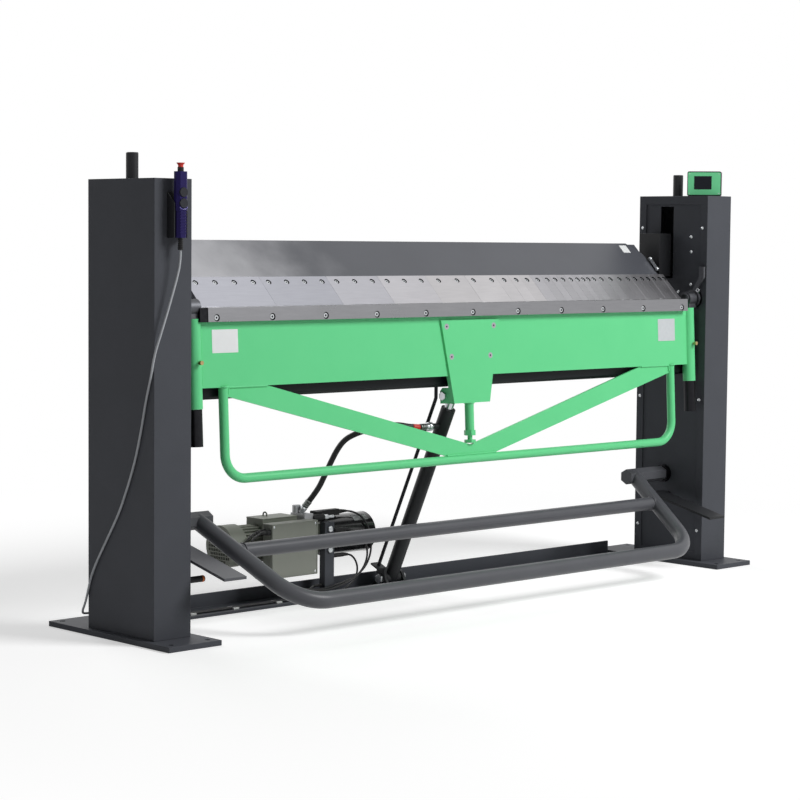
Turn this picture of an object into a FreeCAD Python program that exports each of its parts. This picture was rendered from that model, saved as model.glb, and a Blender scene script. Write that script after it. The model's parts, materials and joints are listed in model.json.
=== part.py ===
import FreeCAD, Part
import math
import os
import Sketcher
from FreeCAD import Placement, Rotation, Vector

# Hydraulic sheet metal folding machine: two floor-standing columns carry a fixed lower beam,
# a clamping top beam with segmented blades and a folding beam that swings up in front of them.
# Frame: +Z up, X along the bend line, operator side towards -Y, origin on the floor in the middle
# of the footprint. Sizes along Y are measured from the plane of the columns' front faces, and the
# finished sub-parts are moved from there to the origin. Millimetres and degrees.

SIZES = [
    ("front_to_middle", 134, "plane of the columns' front faces to the middle of the footprint"),
    ("column_inner", 1103, "middle of the machine to a column's inner face"),
    ("column_width", 126, "column, along X"),
    ("column_depth", 297, "column, along Y"),
    ("column_height", 1240, "column above its foot plate"),
    ("column_wall", 4, "column sheet"),
    ("window_margin", 29, "column sheet left round the inner window"),
    ("cover_sheet", 3, "cover behind the window"),
    ("cover_inset", 2, "cover edge to the inside of the column"),
    ("cover_screw_radius", 3, "shank of the screws that hold a cover"),
    ("cover_head_radius", 6, "head of those screws"),
    ("cover_head_height", 4, "head of those screws"),
    ("cover_screw_high", 1146, "height of the top pair of cover screws"),
    ("cover_screw_middle", 565, "height of the middle pair"),
    ("cover_screw_low", 118, "height of the bottom pair"),
    ("cover_screw_front", 21.5, "front row of cover screws behind the column's front"),
    ("cover_screw_back", 15, "back row of cover screws before the column's back"),
    ("foot_thickness", 15, "foot plate"),
    ("foot_outer", 1251, "middle of the machine to a foot plate's outer end"),
    ("foot_inner", 1071, "middle of the machine to a foot plate's inner end"),
    ("foot_front", 95, "foot plate in front of the column"),
    ("foot_back", 456, "back edge of the foot plate"),
    ("floor_hole_radius", 8, "holes for floor bolts"),
    ("floor_hole_inset", 28, "floor bolt to the foot plate's edges"),
    ("base_web", 8, "base channel sheet"),
    ("base_front", 280, "front edge of the base channel"),
    ("base_back", 398, "back face of the base channel"),
    ("base_flange", 48, "height of the channel's back flange"),
    ("hinge_ahead", 48, "bend line behind the columns' front faces"),
    ("hinge_height", 908, "bend line above the floor"),
    ("lean", 3, "degrees that the folding beam leans out at rest"),
    ("work_half", 1030, "half the working width"),
    ("running_gap", 0.05, "radial clearance of a turning pin"),
    ("part_gap", 0.4, "clearance between parts that only pass each other"),
    ("lower_beam_front", 54, "front face of the lower beam"),
    ("lower_beam_depth", 80, "lower beam, along Y"),
    ("lower_beam_bottom", 653, "underside of the lower beam"),
    ("lower_beam_bevel", 9, "bevel along its bottom front edge"),
    ("lower_blade_height", 42, "clamping blade on the lower beam"),
    ("lower_blade_depth", 62, "clamping blade on the lower beam"),
    ("relief_width", 44, "relief in the lower beam for the cylinder rod"),
    ("relief_depth", 28, "depth of that relief"),
    ("relief_height", 62, "height of that relief"),
    ("pin_radius", 12, "folding hinge pin"),
    ("hub_radius", 32, "flange of the hinge pin on the cover"),
    ("hub_width", 10, "that flange, along X"),
    ("barrel_radius", 24, "folding hinge barrel"),
    ("barrel_width", 36, "folding hinge barrel, along X"),
    ("barrel_foot_half", 16.8, "half the foot of the barrel, along Y"),
    ("barrel_start", 1050, "middle of the machine to the barrel"),
    ("lever_ring", 30, "outer radius of the adjusting lever's ring"),
    ("lever_thickness", 8, "adjusting lever, along X"),
    ("lever_width", 20, "arm of the adjusting lever"),
    ("lever_reach", 74, "bend of the lever above the bend line"),
    ("lever_end", 34, "straight end of the lever above its bend"),
    ("lever_offset", 38, "end of the lever in front of the bend line"),
    ("lever_bolt_radius", 6, "clamping bolt of the lever"),
    ("fold_blade_depth", 12, "folding blade, along Y"),
    ("fold_blade_height", 40, "folding blade, upright"),
    ("fold_blade_drop", 1, "folding blade below the bend line"),
    ("fold_bar_depth", 8, "dark bar behind the folding blade"),
    ("fold_plate_depth", 8, "folding plate"),
    ("fold_plate_bottom", 687, "lower edge of the folding plate"),
    ("fold_plate_drop", 3, "folding plate below the bend line"),
    ("blade_bolt_pitch", 200, "bolts of the folding blade, along X"),
    ("blade_bolt_count", 11, "bolts of the folding blade"),
    ("blade_bolt_below", 29.5, "bolt row below the bend line"),
    ("blade_bolt_head", 8, "bolt head radius"),
    ("blade_bolt_sink", 10, "counterbore of a bolt head, radius"),
    ("blade_bolt_shank", 5, "bolt shank radius"),
    ("end_tube_x", 1062.6, "middle of the machine to an end tube"),
    ("end_tube_radius", 21, "end tube of the folding beam"),
    ("end_tube_wall", 1.8, "end tube wall"),
    ("end_tube_top", 877, "top of the end tube"),
    ("end_tube_bottom", 631, "bottom of the end tube"),
    ("end_bar_bottom", 528, "bottom of the bar inside the end tube"),
    ("thumb_screw_height", 757, "screw that holds the bar"),
    ("thumb_screw_radius", 3.5, "shank of that screw"),
    ("thumb_head_radius", 6, "head of that screw"),
    ("thumb_head_length", 9, "head of that screw, along Y"),
    ("bracket_thickness", 6.5, "centre bracket plate"),
    ("bracket_top", 856, "top of the centre bracket"),
    ("bracket_bottom", 603, "bottom of the centre bracket"),
    ("bracket_top_half", 125.5, "half width of its top edge"),
    ("bracket_bottom_half", 77.4, "half width of its bottom edge"),
    ("bracket_flange", 9, "side flanges of its lower part"),
    ("bracket_screw_radius", 7.5, "countersunk screws in the bracket"),
    ("bracket_screw_high", 836.5, "upper pair of those screws"),
    ("bracket_screw_low", 745, "lower pair of those screws"),
    ("bracket_screw_high_x", 102, "upper pair, from the middle"),
    ("bracket_screw_low_x", 84, "lower pair, from the middle"),
    ("tension_radius", 14, "tension rod under the bracket"),
    ("tension_collar", 519, "top of the rod's collar nut"),
    ("tension_neck", 503, "bottom of the collar nut"),
    ("tension_nut", 490, "top of the nut on the brace"),
    ("tension_neck_radius", 7.5, "threaded neck between the nuts"),
    ("nut_half", 16, "half the width of both nuts"),
    ("brace_thickness", 8, "brace bars, along Y"),
    ("brace_top_half", 807, "upper edge of the brace leaves the plate, from the middle"),
    ("brace_low_half", 106, "lower edge of the brace meets the handle, from the middle"),
    ("brace_middle", 475, "upper edge of the brace at the middle"),
    ("brace_side", 663, "lower edge of the brace at the handle's upright"),
    ("handle_half", 963.6, "middle of the machine to the handle's upright"),
    ("handle_radius", 13.5, "handle tube"),
    ("handle_bottom", 432, "axis of the handle's long grip"),
    ("handle_bend", 70, "bend of the handle, on its axis"),
    ("handle_y", 48, "handle's plane"),
    ("segment_slope", 45, "degrees of the clamping face"),
    ("segment_length", 114.6, "clamping face up the slope"),
    ("segment_thickness", 22, "clamping segments across the slope"),
    ("segment_gap", 0.4, "gap between segments"),
    ("nose_gap", 0.4, "clamping edge above the lower blade at rest"),
    ("segment_bolt_up", 93.5, "bolt row up the slope"),
    ("segment_bolt_radius", 4, "segment bolt shank"),
    ("segment_head_radius", 6.5, "segment bolt head"),
    ("segment_sink_radius", 8.8, "counterbore of a segment bolt"),
    ("segment_head_height", 6, "segment bolt head"),
    ("top_half", 1003, "half the length of the top beam"),
    ("top_plate_sheet", 6, "sloped plate on the top beam"),
    ("top_plate_length", 145.7, "sloped plate up the slope"),
    ("top_plate_side", 93.3, "straight side of the sloped plate"),
    ("top_plate_chamfer", 111.7, "end of the first chamfer up the slope"),
    ("top_plate_chamfer_in", 14, "first chamfer, along X"),
    ("top_plate_top_in", 50, "second chamfer's end from the side, along X"),
    ("top_beam_bottom", 935, "underside of the top beam"),
    ("top_beam_back", 244, "back face of the top beam"),
    ("arm_front", 190, "front face of the arm to a carrier block"),
    ("arm_width", 54, "that arm, along Y"),
    ("arm_height", 58, "that arm"),
    ("carrier_inner", 1041, "middle of the machine to a carrier block"),
    ("carrier_front", 155, "front face of a carrier block"),
    ("carrier_depth", 88, "carrier block, along Y"),
    ("carrier_bottom", 981, "underside of a carrier block"),
    ("carrier_height", 146, "carrier block"),
    ("tongue_front", 163, "front face of the tongue through the cover"),
    ("tongue_bottom", 991, "underside of that tongue"),
    ("tongue_width", 36, "tongue through the cover, along Y"),
    ("tongue_height", 70, "tongue through the cover"),
    ("slot_front", 150, "slot in the cover for the tongue"),
    ("slot_width", 56, "that slot"),
    ("slot_top", 1219, "top of that slot"),
    ("slot_bottom", 975, "bottom of that slot"),
    ("lift_radius", 17, "lifting rod"),
    ("lift_x", 1166, "middle of the machine to a lifting rod"),
    ("lift_y", 181, "lifting rod behind the column's front face"),
    ("lift_top", 1328, "top of the lifting rod"),
    ("lift_bottom", 900, "bottom of the lifting rod"),
    ("lift_bevel", 1.7, "bevel round the top of a lifting rod"),
    ("carrier_gap", 1, "carrier block to the column's inner face"),
    ("lift_gap", 0.7, "lifting rod to its guide hole"),
    ("collar_wall", 8, "collar round a lifting rod"),
    ("cylinder_x", -40, "plane of the folding cylinder"),
    ("cylinder_foot_y", 332, "lower pivot of the cylinder"),
    ("cylinder_foot_z", 34, "lower pivot of the cylinder"),
    ("cylinder_pin_y", 62, "upper pin of the cylinder at rest"),
    ("cylinder_pin_z", 625, "upper pin of the cylinder at rest"),
    ("cylinder_radius", 22.5, "cylinder barrel"),
    ("cylinder_wall", 4, "cylinder barrel wall"),
    ("cylinder_length", 605, "lower pivot to the barrel's mouth"),
    ("rod_radius", 14, "cylinder rod"),
    ("rod_inside", 560, "cylinder rod inside the barrel at rest"),
    ("rod_neck_length", 22, "thin end of the rod below its eye's middle"),
    ("rod_neck_radius", 10.5, "thin end of the rod"),
    ("foot_eye_width", 58, "barrel's eye, along X"),
    ("fitting_height", 545, "hose fitting up the barrel"),
    ("fitting_radius", 9, "hose fitting"),
    ("fitting_reach", 62, "hose fitting from the barrel's axis"),
    ("eye_width", 26, "eyes of the cylinder, along X"),
    ("eye_radius", 17, "rod's eye"),
    ("foot_eye_radius", 19, "barrel's eye"),
    ("upper_pin_radius", 8, "upper pin"),
    ("upper_pin_head", 24, "head and nut of the upper pin, across flats"),
    ("lower_pin_radius", 10, "lower pin"),
    ("lower_pin_head", 27, "head and nut of the lower pin, across flats"),
    ("hook_gap", 0.6, "clearance of the rod's open eye round the upper pin"),
    ("hook_turn", 111, "degrees from the rod's axis to the open side of its eye"),
    ("lug_spacing", 60, "gap between the upper lugs"),
    ("lug_thickness", 10, "upper lugs"),
    ("lug_back", 92, "back edge of the upper lugs"),
    ("lug_top", 651, "top edge of the upper lugs"),
    ("ear_spacing", 66, "gap between the lower ears"),
    ("ear_thickness", 10, "lower ears"),
    ("ear_radius", 22, "round top of the lower ears"),
    ("ear_half", 40, "half the foot of a lower ear"),
    ("tie_radius", 5.5, "tie rod beside the cylinder"),
    ("tie_x", -92, "plane of the tie rod"),
    ("tie_top_y", 83, "tie rod under the lower beam"),
    ("tie_bend_z", 618, "bend of the tie rod"),
    ("tie_low_y", 331, "tie rod's lower end"),
    ("tie_low_z", 78, "tie rod's lower end"),
    ("tie_sheet", 6, "tab under the tie rod"),
    ("tie_tab", 36, "tab under the tie rod"),
    ("bar_y", 171, "foot bar's axis"),
    ("bar_z", 303, "foot bar's axis"),
    ("bar_radius", 24.1, "foot bar tube"),
    ("bar_arm_x", 946.5, "arm of the foot bar at its axis"),
    ("bar_corner_x", 848.4, "corner of the foot bar"),
    ("bar_corner_y", -164.4, "corner of the foot bar"),
    ("bar_corner_z", 99.1, "corner of the foot bar"),
    ("bar_bend", 128.5, "bend of the foot bar, on its axis"),
    ("bar_rail_radius", 21.2, "straight rail of the foot bar"),
    ("bar_rail_share", 0.38, "rail's place along the arm"),
    ("bar_hex", 45, "hexagon of the foot bar's stub shafts, across flats"),
    ("bar_hex_inside", 41, "stub shafts inside the arm's axis"),
    ("bar_journal", 15, "journal of the stub shafts"),
    ("bush_width", 16, "bushes of the foot bar on the covers"),
    ("bush_radius", 30, "those bushes"),
    ("pedal_inner", 1001, "middle of the machine to a pedal"),
    ("pedal_width", 78, "pedal plate"),
    ("pedal_sheet", 8, "pedal plate"),
    ("pedal_front_y", -114, "front edge of a pedal"),
    ("pedal_front_z", 184, "top of that edge"),
    ("pedal_pivot_y", 150, "pedal pin"),
    ("pedal_pivot_z", 234, "pedal pin"),
    ("pedal_pin_radius", 8, "pedal pin"),
    ("pedal_eye_radius", 14, "pedal's eye"),
    ("sensor_radius", 9, "switch under the left pedal"),
    ("sensor_inner", 1050, "middle of the machine to the switch's tip"),
    ("sensor_y", 12, "switch under the left pedal"),
    ("sensor_z", 168, "switch under the left pedal"),
    ("motor_y", 385, "axis of the power pack"),
    ("motor_z", 183, "axis of the power pack"),
    ("motor_core", 50, "motor body under its fins"),
    ("motor_fins", 28, "fins round the motor"),
    ("fin_height", 8, "motor fin"),
    ("fin_width", 3.5, "motor fin"),
    ("motor_left", -640, "left end of the motor body"),
    ("motor_right", -400, "right end of the motor body"),
    ("cowl_radius", 64, "fan cowl"),
    ("cowl_length", 50, "fan cowl"),
    ("cowl_sheet", 2, "fan cowl sheet"),
    ("fan_radius", 50, "motor fan"),
    ("fan_blades", 7, "blades of the fan"),
    ("fan_shaft_radius", 6, "fan shaft"),
    ("fan_shaft_inside", 36, "fan shaft inside the motor"),
    ("fan_hub_radius", 15, "hub of the fan"),
    ("fan_gap", 8, "cowl's grid to the fan"),
    ("motor_disc", 6, "discs at the motor's ends"),
    ("seat_half", 45, "half the height of the control box's seat on the motor"),
    ("grid_radius", 52, "the cowl's grid reaches this far from its middle"),
    ("grid_step_y", 8, "grid of the cowl, along Y"),
    ("grid_step_z", 11, "grid of the cowl, upright"),
    ("grid_hole_y", 5.5, "hole of that grid, along Y"),
    ("grid_hole_z", 8, "hole of that grid, upright"),
    ("terminal_left", -555, "terminal box"),
    ("terminal_right", -420, "terminal box"),
    ("terminal_top", 256, "terminal box"),
    ("terminal_half", 38, "half the terminal box, along Y"),
    ("manifold_right", -290, "right end of the pump manifold"),
    ("manifold_front", 343, "front face of the pump manifold"),
    ("manifold_half", 43, "half the height of the manifold"),
    ("post_left", -330, "post that carries the power pack"),
    ("post_width", 38, "that post"),
    ("post_depth", 25, "that post"),
    ("post_top", 233, "top of that post"),
    ("post_bolt_radius", 9, "bolt heads on the post"),
    ("post_bolt_height", 6.3, "bolt heads on the post"),
    ("post_bolt_high", 212, "upper bolt"),
    ("post_bolt_low", 148, "lower bolt"),
    ("tank_radius", 62, "oil tank"),
    ("tank_length", 178, "oil tank"),
    ("tank_bevel", 3, "bevel round the end of the tank"),
    ("box_left", -575, "control box"),
    ("box_right", -393, "control box"),
    ("box_front", 280, "front of the control box"),
    ("box_depth", 42.5, "control box with its lid"),
    ("box_bottom", 86, "control box"),
    ("box_top", 250, "control box"),
    ("lid_thickness", 12, "lid of the control box"),
    ("valve_left", -399, "valve block"),
    ("valve_right", -364, "valve block"),
    ("valve_front", 335, "valve block"),
    ("valve_back", 400, "valve block"),
    ("valve_top", 262, "valve block"),
    ("knob_y", 389, "adjusting knob on the valve block"),
    ("knob_radius", 10, "that knob"),
    ("knob_top", 285, "that knob"),
    ("valve_neck_radius", 8.4, "fitting between the hose and the valve block"),
    ("valve_neck_length", 13, "that fitting"),
    ("coil_y", 342, "solenoid coil"),
    ("coil_z", 246, "solenoid coil"),
    ("coil_radius", 12.5, "solenoid coil"),
    ("coil_right", -319, "end of the solenoid coil"),
    ("coil_nut_right", -300, "end of the nut on the coil"),
    ("coil_nut_width", 15, "nut on the coil, across flats"),
    ("coil_tip_radius", 5, "end of the coil's core tube"),
    ("coil_tip_right", -276, "end of the coil's core tube"),
    ("plug_radius", 6.5, "cable outlets of the plugs"),
    ("plug_front", 353, "plug behind the coil"),
    ("plug_depth", 20, "that plug, along Y"),
    ("plug_bottom", 246.5, "that plug"),
    ("plug_height", 19, "that plug"),
    ("plug_end", -240, "right end of that plug"),
    ("plug_low_x", -246, "end of the lower plug on the post"),
    ("plug_low_y", 330, "lower plug on the post"),
    ("plug_low_z", 126, "lower plug on the post"),
    ("plug_high_x", -256, "end of the upper plug on the post"),
    ("plug_high_y", 319.5, "upper plug on the post"),
    ("plug_high_z", 207, "upper plug on the post"),
    ("lid_screw_inset", 9, "lid screws to the lid's edges"),
    ("lid_screw_radius", 4, "heads of the lid screws"),
    ("gland_radius", 8.5, "cable glands of the control box"),
    ("gland_length", 15, "cable glands of the control box"),
    ("gland_front", 291.8, "front cable gland"),
    ("gland_back", 313.1, "back cable gland"),
    ("gland_z", 226, "height of the cable glands"),
    ("ferrule_length", 33, "crimped ends of the hose"),
    ("hose_radius", 8.75, "hydraulic hose"),
    ("ferrule_radius", 10.5, "crimped ends of the hose"),
    ("pendant_x", -1164.7, "middle of the hand pendant"),
    ("pendant_front", 43, "front of the pendant before the column"),
    ("pendant_back", 17, "back of the pendant before the column"),
    ("pendant_width", 37, "pendant's head"),
    ("pendant_round", 8, "rounding of the pendant's upright edges"),
    ("grip_width", 32, "pendant's grip"),
    ("pendant_bottom", 1097, "bottom of the pendant"),
    ("pendant_ledge", 1168, "grip meets head"),
    ("pendant_top", 1273, "top of the pendant"),
    ("grip_step", 1, "grip's front behind the head's"),
    ("cheek_sheet", 3, "sheet of the pendant's holder"),
    ("cheek_gap", 1, "pendant to the holder's cheeks"),
    ("cheek_reach", 32, "cheeks in front of the column"),
    ("cheek_top", 1219, "top of the holder at the column"),
    ("cheek_front_top", 1190, "top of the holder's front edge"),
    ("button_proud", 2.5, "buttons in front of the pendant"),
    ("button_depth", 4, "buttons inside the pendant"),
    ("button_travel", 4, "room behind the buttons"),
    ("button_radius", 12.5, "pendant's round buttons"),
    ("button_high", 1218, "upper button"),
    ("button_low", 1189, "lower button"),
    ("stop_collar", 8.4, "collar under the stop button"),
    ("stop_height", 11, "that collar"),
    ("stop_radius", 7.2, "stop button's stem"),
    ("stop_rise", 12, "stop button above its collar"),
    ("stop_flare", 11.2, "stop button's rim"),
    ("stop_rim", 1.2, "thickness of that rim"),
    ("relief_radius", 7, "strain relief of the pendant's cable"),
    ("relief_length", 32, "strain relief of the pendant's cable"),
    ("relief_core", 5.2, "strain relief between its rings"),
    ("relief_rings", 6, "rings of the strain relief"),
    ("cable_radius", 3.25, "pendant's cable"),
    ("display_x", 1166, "middle of the display"),
    ("display_y", 66, "middle of the display"),
    ("display_width", 115, "display case"),
    ("display_height", 84, "display case"),
    ("display_depth", 45, "display case"),
    ("display_front", 3, "display's front plate"),
    ("display_plate_width", 109.5, "display's front plate"),
    ("display_plate_height", 76, "display's front plate"),
    ("screen_left", 21, "screen to the plate's left edge"),
    ("screen_down", 12, "screen to the plate's top edge"),
    ("screen_width", 59, "screen"),
    ("screen_height", 45, "screen"),
    ("display_turn", -45, "degrees that the display is turned to the operator"),
    ("pump_cable_radius", 3.1, "cables of the power pack"),
    ("clip_half", 10, "half a cable clip, along X"),
    ("web_front_cable", 306, "front cable along the base channel"),
    ("web_back_cable", 317, "back cable along the base channel"),
    ("web_cable_end", 1096, "middle of the machine to those cables' left end"),
    ("web_cable_rise", 13, "rise of those cables to their outlets"),
    ("web_cable_shift", 15, "shift of those cables to their outlets"),
    ("feed_x", -346, "start of the feed cable at the post"),
    ("feed_y", 330, "start of the feed cable at the post"),
    ("feed_z", 40, "start of the feed cable at the post"),
    ("outlet_radius", 4.4, "outlets of the cables"),
]

doc = FreeCAD.newDocument("FoldingMachine")
sheet = doc.addObject("Spreadsheet::Sheet", "Sizes")
for row, (alias, number, meaning) in enumerate(SIZES, start=1):
    sheet.set(f"A{row}", meaning)
    sheet.set(f"B{row}", str(number))
    sheet.setAlias(f"B{row}", alias)
doc.recompute()


class Term:
    """A length worked out from the sheet: its number now and the formula that keeps it bound."""

    def __init__(self, number, formula):
        self.number = number
        self.formula = formula

    def __float__(self):
        return self.number

    def __add__(self, other):
        other = term(other)
        return Term(self.number + other.number, f"({self.formula} + {other.formula})")

    def __sub__(self, other):
        other = term(other)
        return Term(self.number - other.number, f"({self.formula} - {other.formula})")

    def __mul__(self, other):
        other = term(other)
        return Term(self.number * other.number, f"({self.formula} * {other.formula})")

    def __truediv__(self, other):
        other = term(other)
        return Term(self.number / other.number, f"({self.formula} / {other.formula})")

    def __neg__(self):
        return Term(-self.number, f"(0 - {self.formula})")

    def __radd__(self, other):
        return term(other) + self

    def __rsub__(self, other):
        return term(other) - self

    def __rmul__(self, other):
        return term(other) * self


def term(thing):
    """A plain number or a Term, as a Term."""
    if isinstance(thing, Term):
        return thing
    return Term(float(thing), f"({float(thing):.6f})")


def sine(angle):
    """Sine of a Term in degrees."""
    return Term(math.sin(math.radians(angle.number)), f"sin({angle.formula} * 1 deg)")


def cosine(angle):
    """Cosine of a Term in degrees."""
    return Term(math.cos(math.radians(angle.number)), f"cos({angle.formula} * 1 deg)")


class Sheet:
    """Each alias of the sheet as a Term."""

    def __getattr__(self, alias):
        return Term(float(sheet.get(alias)), f"Sizes.{alias}")


size = Sheet()
SIDES = {"left": -1, "right": 1}


def vector(x, y, z):
    """A vector of Terms or numbers."""
    return Vector(float(x), float(y), float(z))


def bind(thing, **terms):
    """Set properties of an object now, and bind them to the sheet."""
    for prop, value in terms.items():
        value = term(value)
        setattr(thing, prop, value.number)
        thing.setExpression(prop, value.formula)
    return thing


def locate(thing, x, y, z, rotation=Rotation()):
    """Place an object, with its position bound to the sheet."""
    thing.Placement = Placement(vector(x, y, z), rotation)
    for axis, value in zip("xyz", (x, y, z)):
        thing.setExpression(f"Placement.Base.{axis}", term(value).formula)
    return thing


def box(name, x, y, z):
    """A box between two Terms on each axis."""
    block = doc.addObject("Part::Box", name)
    bind(block, Length=x[1] - x[0], Width=y[1] - y[0], Height=z[1] - z[0])
    return locate(block, x[0], y[0], z[0])


TURNS = {
    "X": Rotation(Vector(0, 1, 0), 90),
    "Y": Rotation(Vector(1, 0, 0), -90),
    "Z": Rotation(),
}


def round_bar(name, axis, radius, centre, span):
    """A cylinder along X, Y or Z. centre holds its other two coordinates, in that order."""
    bar = doc.addObject("Part::Cylinder", name)
    bind(bar, Radius=radius, Height=span[1] - span[0])
    places = {
        "X": (span[0], centre[0], centre[1]),
        "Y": (centre[0], span[0], centre[1]),
        "Z": (centre[0], centre[1], span[0]),
    }
    return locate(bar, *places[axis], TURNS[axis])


def cone(name, axis, radii, centre, span):
    """A cone along X, Y or Z between two radii."""
    solid = doc.addObject("Part::Cone", name)
    bind(solid, Radius1=radii[0], Radius2=radii[1], Height=span[1] - span[0])
    places = {
        "X": (span[0], centre[0], centre[1]),
        "Y": (centre[0], span[0], centre[1]),
        "Z": (centre[0], centre[1], span[0]),
    }
    return locate(solid, *places[axis], TURNS[axis])


def fuse(name, *parts):
    """One solid from parts that meet."""
    joined = doc.addObject("Part::MultiFuse", name)
    joined.Shapes = list(parts)
    joined.Refine = True
    return joined


def group(name, *parts):
    """Separate solids kept in one piece list entry."""
    kept = doc.addObject("Part::Compound", name)
    kept.Links = list(parts)
    return kept


def cut(name, base, *tools):
    """The base with every tool taken away."""
    result = doc.addObject("Part::Cut", name)
    result.Base = base
    result.Tool = tools[0] if len(tools) == 1 else fuse(f"{name}_tools", *tools)
    return result


PLANES = {"X": "YZ_Plane", "Y": "XZ_Plane", "Z": "XY_Plane"}


def padded(name, axis, outline, span, holes=()):
    """A body padded along an axis from an outline of Terms, with round holes (across, up, radius).

    The outline's coordinates are (Y, Z) along X, (X, Z) along Y and (X, Y) along Z.
    """
    body = doc.addObject("PartDesign::Body", name)
    sketch = body.newObject("Sketcher::SketchObject", f"{name}_outline")
    plane = next(p for p in body.Origin.OriginFeatures if p.Role == PLANES[axis])
    sketch.AttachmentSupport = [(plane, "")]
    sketch.MapMode = "FlatFace"
    start = -term(span[1]) if axis == "Y" else term(span[0])
    sketch.AttachmentOffset = Placement(vector(0, 0, start), Rotation())
    sketch.setExpression("AttachmentOffset.Base.z", start.formula)
    points = [vector(across, up, 0) for across, up in outline]
    sides = []
    for first, second in zip(points, points[1:] + points[:1]):
        sides.append(Part.LineSegment(first, second))
    sketch.addGeometry(sides, False)
    for side in range(len(sides)):
        following = (side + 1) % len(sides)
        sketch.addConstraint(Sketcher.Constraint("Coincident", side, 2, following, 1))
    for side, corner in enumerate(outline):
        for kind, value in zip(("DistanceX", "DistanceY"), corner):
            pinned(sketch, f"{kind}_{side}", kind, side, 1, value)
    for number, (across, up, radius) in enumerate(holes):
        circle = Part.Circle(vector(across, up, 0), Vector(0, 0, 1), float(radius))
        place = sketch.addGeometry(circle, False)
        pinned(sketch, f"hole_x_{number}", "DistanceX", place, 3, across)
        pinned(sketch, f"hole_y_{number}", "DistanceY", place, 3, up)
        constraint = sketch.addConstraint(Sketcher.Constraint("Radius", place, float(radius)))
        sketch.renameConstraint(constraint, f"hole_r_{number}")
        sketch.setExpression(f"Constraints.hole_r_{number}", term(radius).formula)
    pad = body.newObject("PartDesign::Pad", f"{name}_pad")
    pad.Profile = sketch
    bind(pad, Length=term(span[1]) - span[0])
    sketch.Visibility = False
    return body


def pinned(sketch, name, kind, geometry, point, value):
    """Hold one coordinate of a sketch point at a Term."""
    value = term(value)
    made = sketch.addConstraint(Sketcher.Constraint(kind, geometry, point, value.number))
    sketch.renameConstraint(made, name)
    sketch.setExpression(f"Constraints.{name}", value.formula)


def bent_wire(points, radii):
    """Straight runs through the points, joined by tangent arcs of the given radii."""
    edges = []
    last = points[0]
    for before, corner, after, radius in zip(points, points[1:], points[2:], radii):
        back = (before - corner).normalize()
        on = (after - corner).normalize()
        half_turn = (math.pi - back.getAngle(on)) / 2
        reach = radius * math.tan(half_turn)
        start = corner + back * reach
        end = corner + on * reach
        inward = (back + on).normalize()
        middle = corner + inward * (radius / math.cos(half_turn) - radius)
        edges.append(Part.LineSegment(last, start).toShape())
        edges.append(Part.Arc(start, middle, end).toShape())
        last = end
    edges.append(Part.LineSegment(last, points[-1]).toShape())
    return Part.Wire(edges)


def swept(name, points, radii, radius):
    """A round bar along a bent wire."""
    path = bent_wire(points, radii)
    heading = points[1] - points[0]
    ring = Part.Wire([Part.Circle(points[0], heading, float(radius)).toShape()])
    feature = doc.addObject("Part::Feature", name)
    feature.Shape = path.makePipeShell([ring], True, False)
    return feature, path


def cord(name, points, radius):
    """A cord's tube: each arc's radius is 0.45 of its shorter run over the tangent of half its turn."""
    radii = []
    for before, corner, after in zip(points, points[1:], points[2:]):
        turn = (corner - before).getAngle(after - corner)
        shorter = min((corner - before).Length, (after - corner).Length)
        radii.append(0.45 * shorter / math.tan(turn / 2))
    feature, path = swept(name, points, radii, radius)
    expected = math.pi * float(radius) ** 2 * path.Length
    runs = [(b - a).Length for a, b in zip(points, points[1:])]
    print(
        f"{name}: length {path.Length:.0f}, runs {min(runs):.0f} to {max(runs):.0f},"
        f" smallest arc {min(radii):.0f}, arcs {[round(r) for r in radii]},"
        f" volume over section times length {feature.Shape.Volume / expected:.4f}"
    )
    return feature


PIECES = []


def piece(label, shape, placement=None):
    """Name a sub-part. An object with a placement of its own is wrapped first."""
    if placement is not None:
        if shape.TypeId in ("Part::Box", "Part::Cylinder", "Part::Cone"):
            shape = group(f"{label}_held", shape)
        shape.Placement = placement
    shape.Label = label
    PIECES.append(shape)
    return shape


SHARED = {}


def member(label, *shapes):
    """Keep small parts of one kind for a sub-part that holds them all."""
    SHARED.setdefault(label, []).extend(shapes)


def mirrored_pair(name, make):
    """The same thing at the left and the right, from make(name, side)."""
    return [make(f"{name}_{word}", side) for word, side in SIDES.items()]


def across(side, inner, outer):
    """The X range between two distances from the middle, on one side."""
    return (side * term(inner), side * term(outer)) if side > 0 else (-term(outer), -term(inner))


column_outer = size.column_inner + size.column_width
column_top = size.foot_thickness + size.column_height
cover_face = size.column_inner + size.column_wall
hinge = (size.hinge_ahead, size.hinge_height)
run = cosine(size.segment_slope)
rise = sine(size.segment_slope)
fold_front = size.hinge_ahead - size.fold_blade_depth - size.fold_bar_depth - size.fold_plate_depth
plate_front = size.hinge_ahead - size.fold_plate_depth
cover_screw_heights = (size.cover_screw_high, size.cover_screw_middle, size.cover_screw_low)
cover_screw_places = [
    (along, height)
    for along in (size.cover_screw_front, size.column_depth - size.cover_screw_back)
    for height in cover_screw_heights
]


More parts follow.
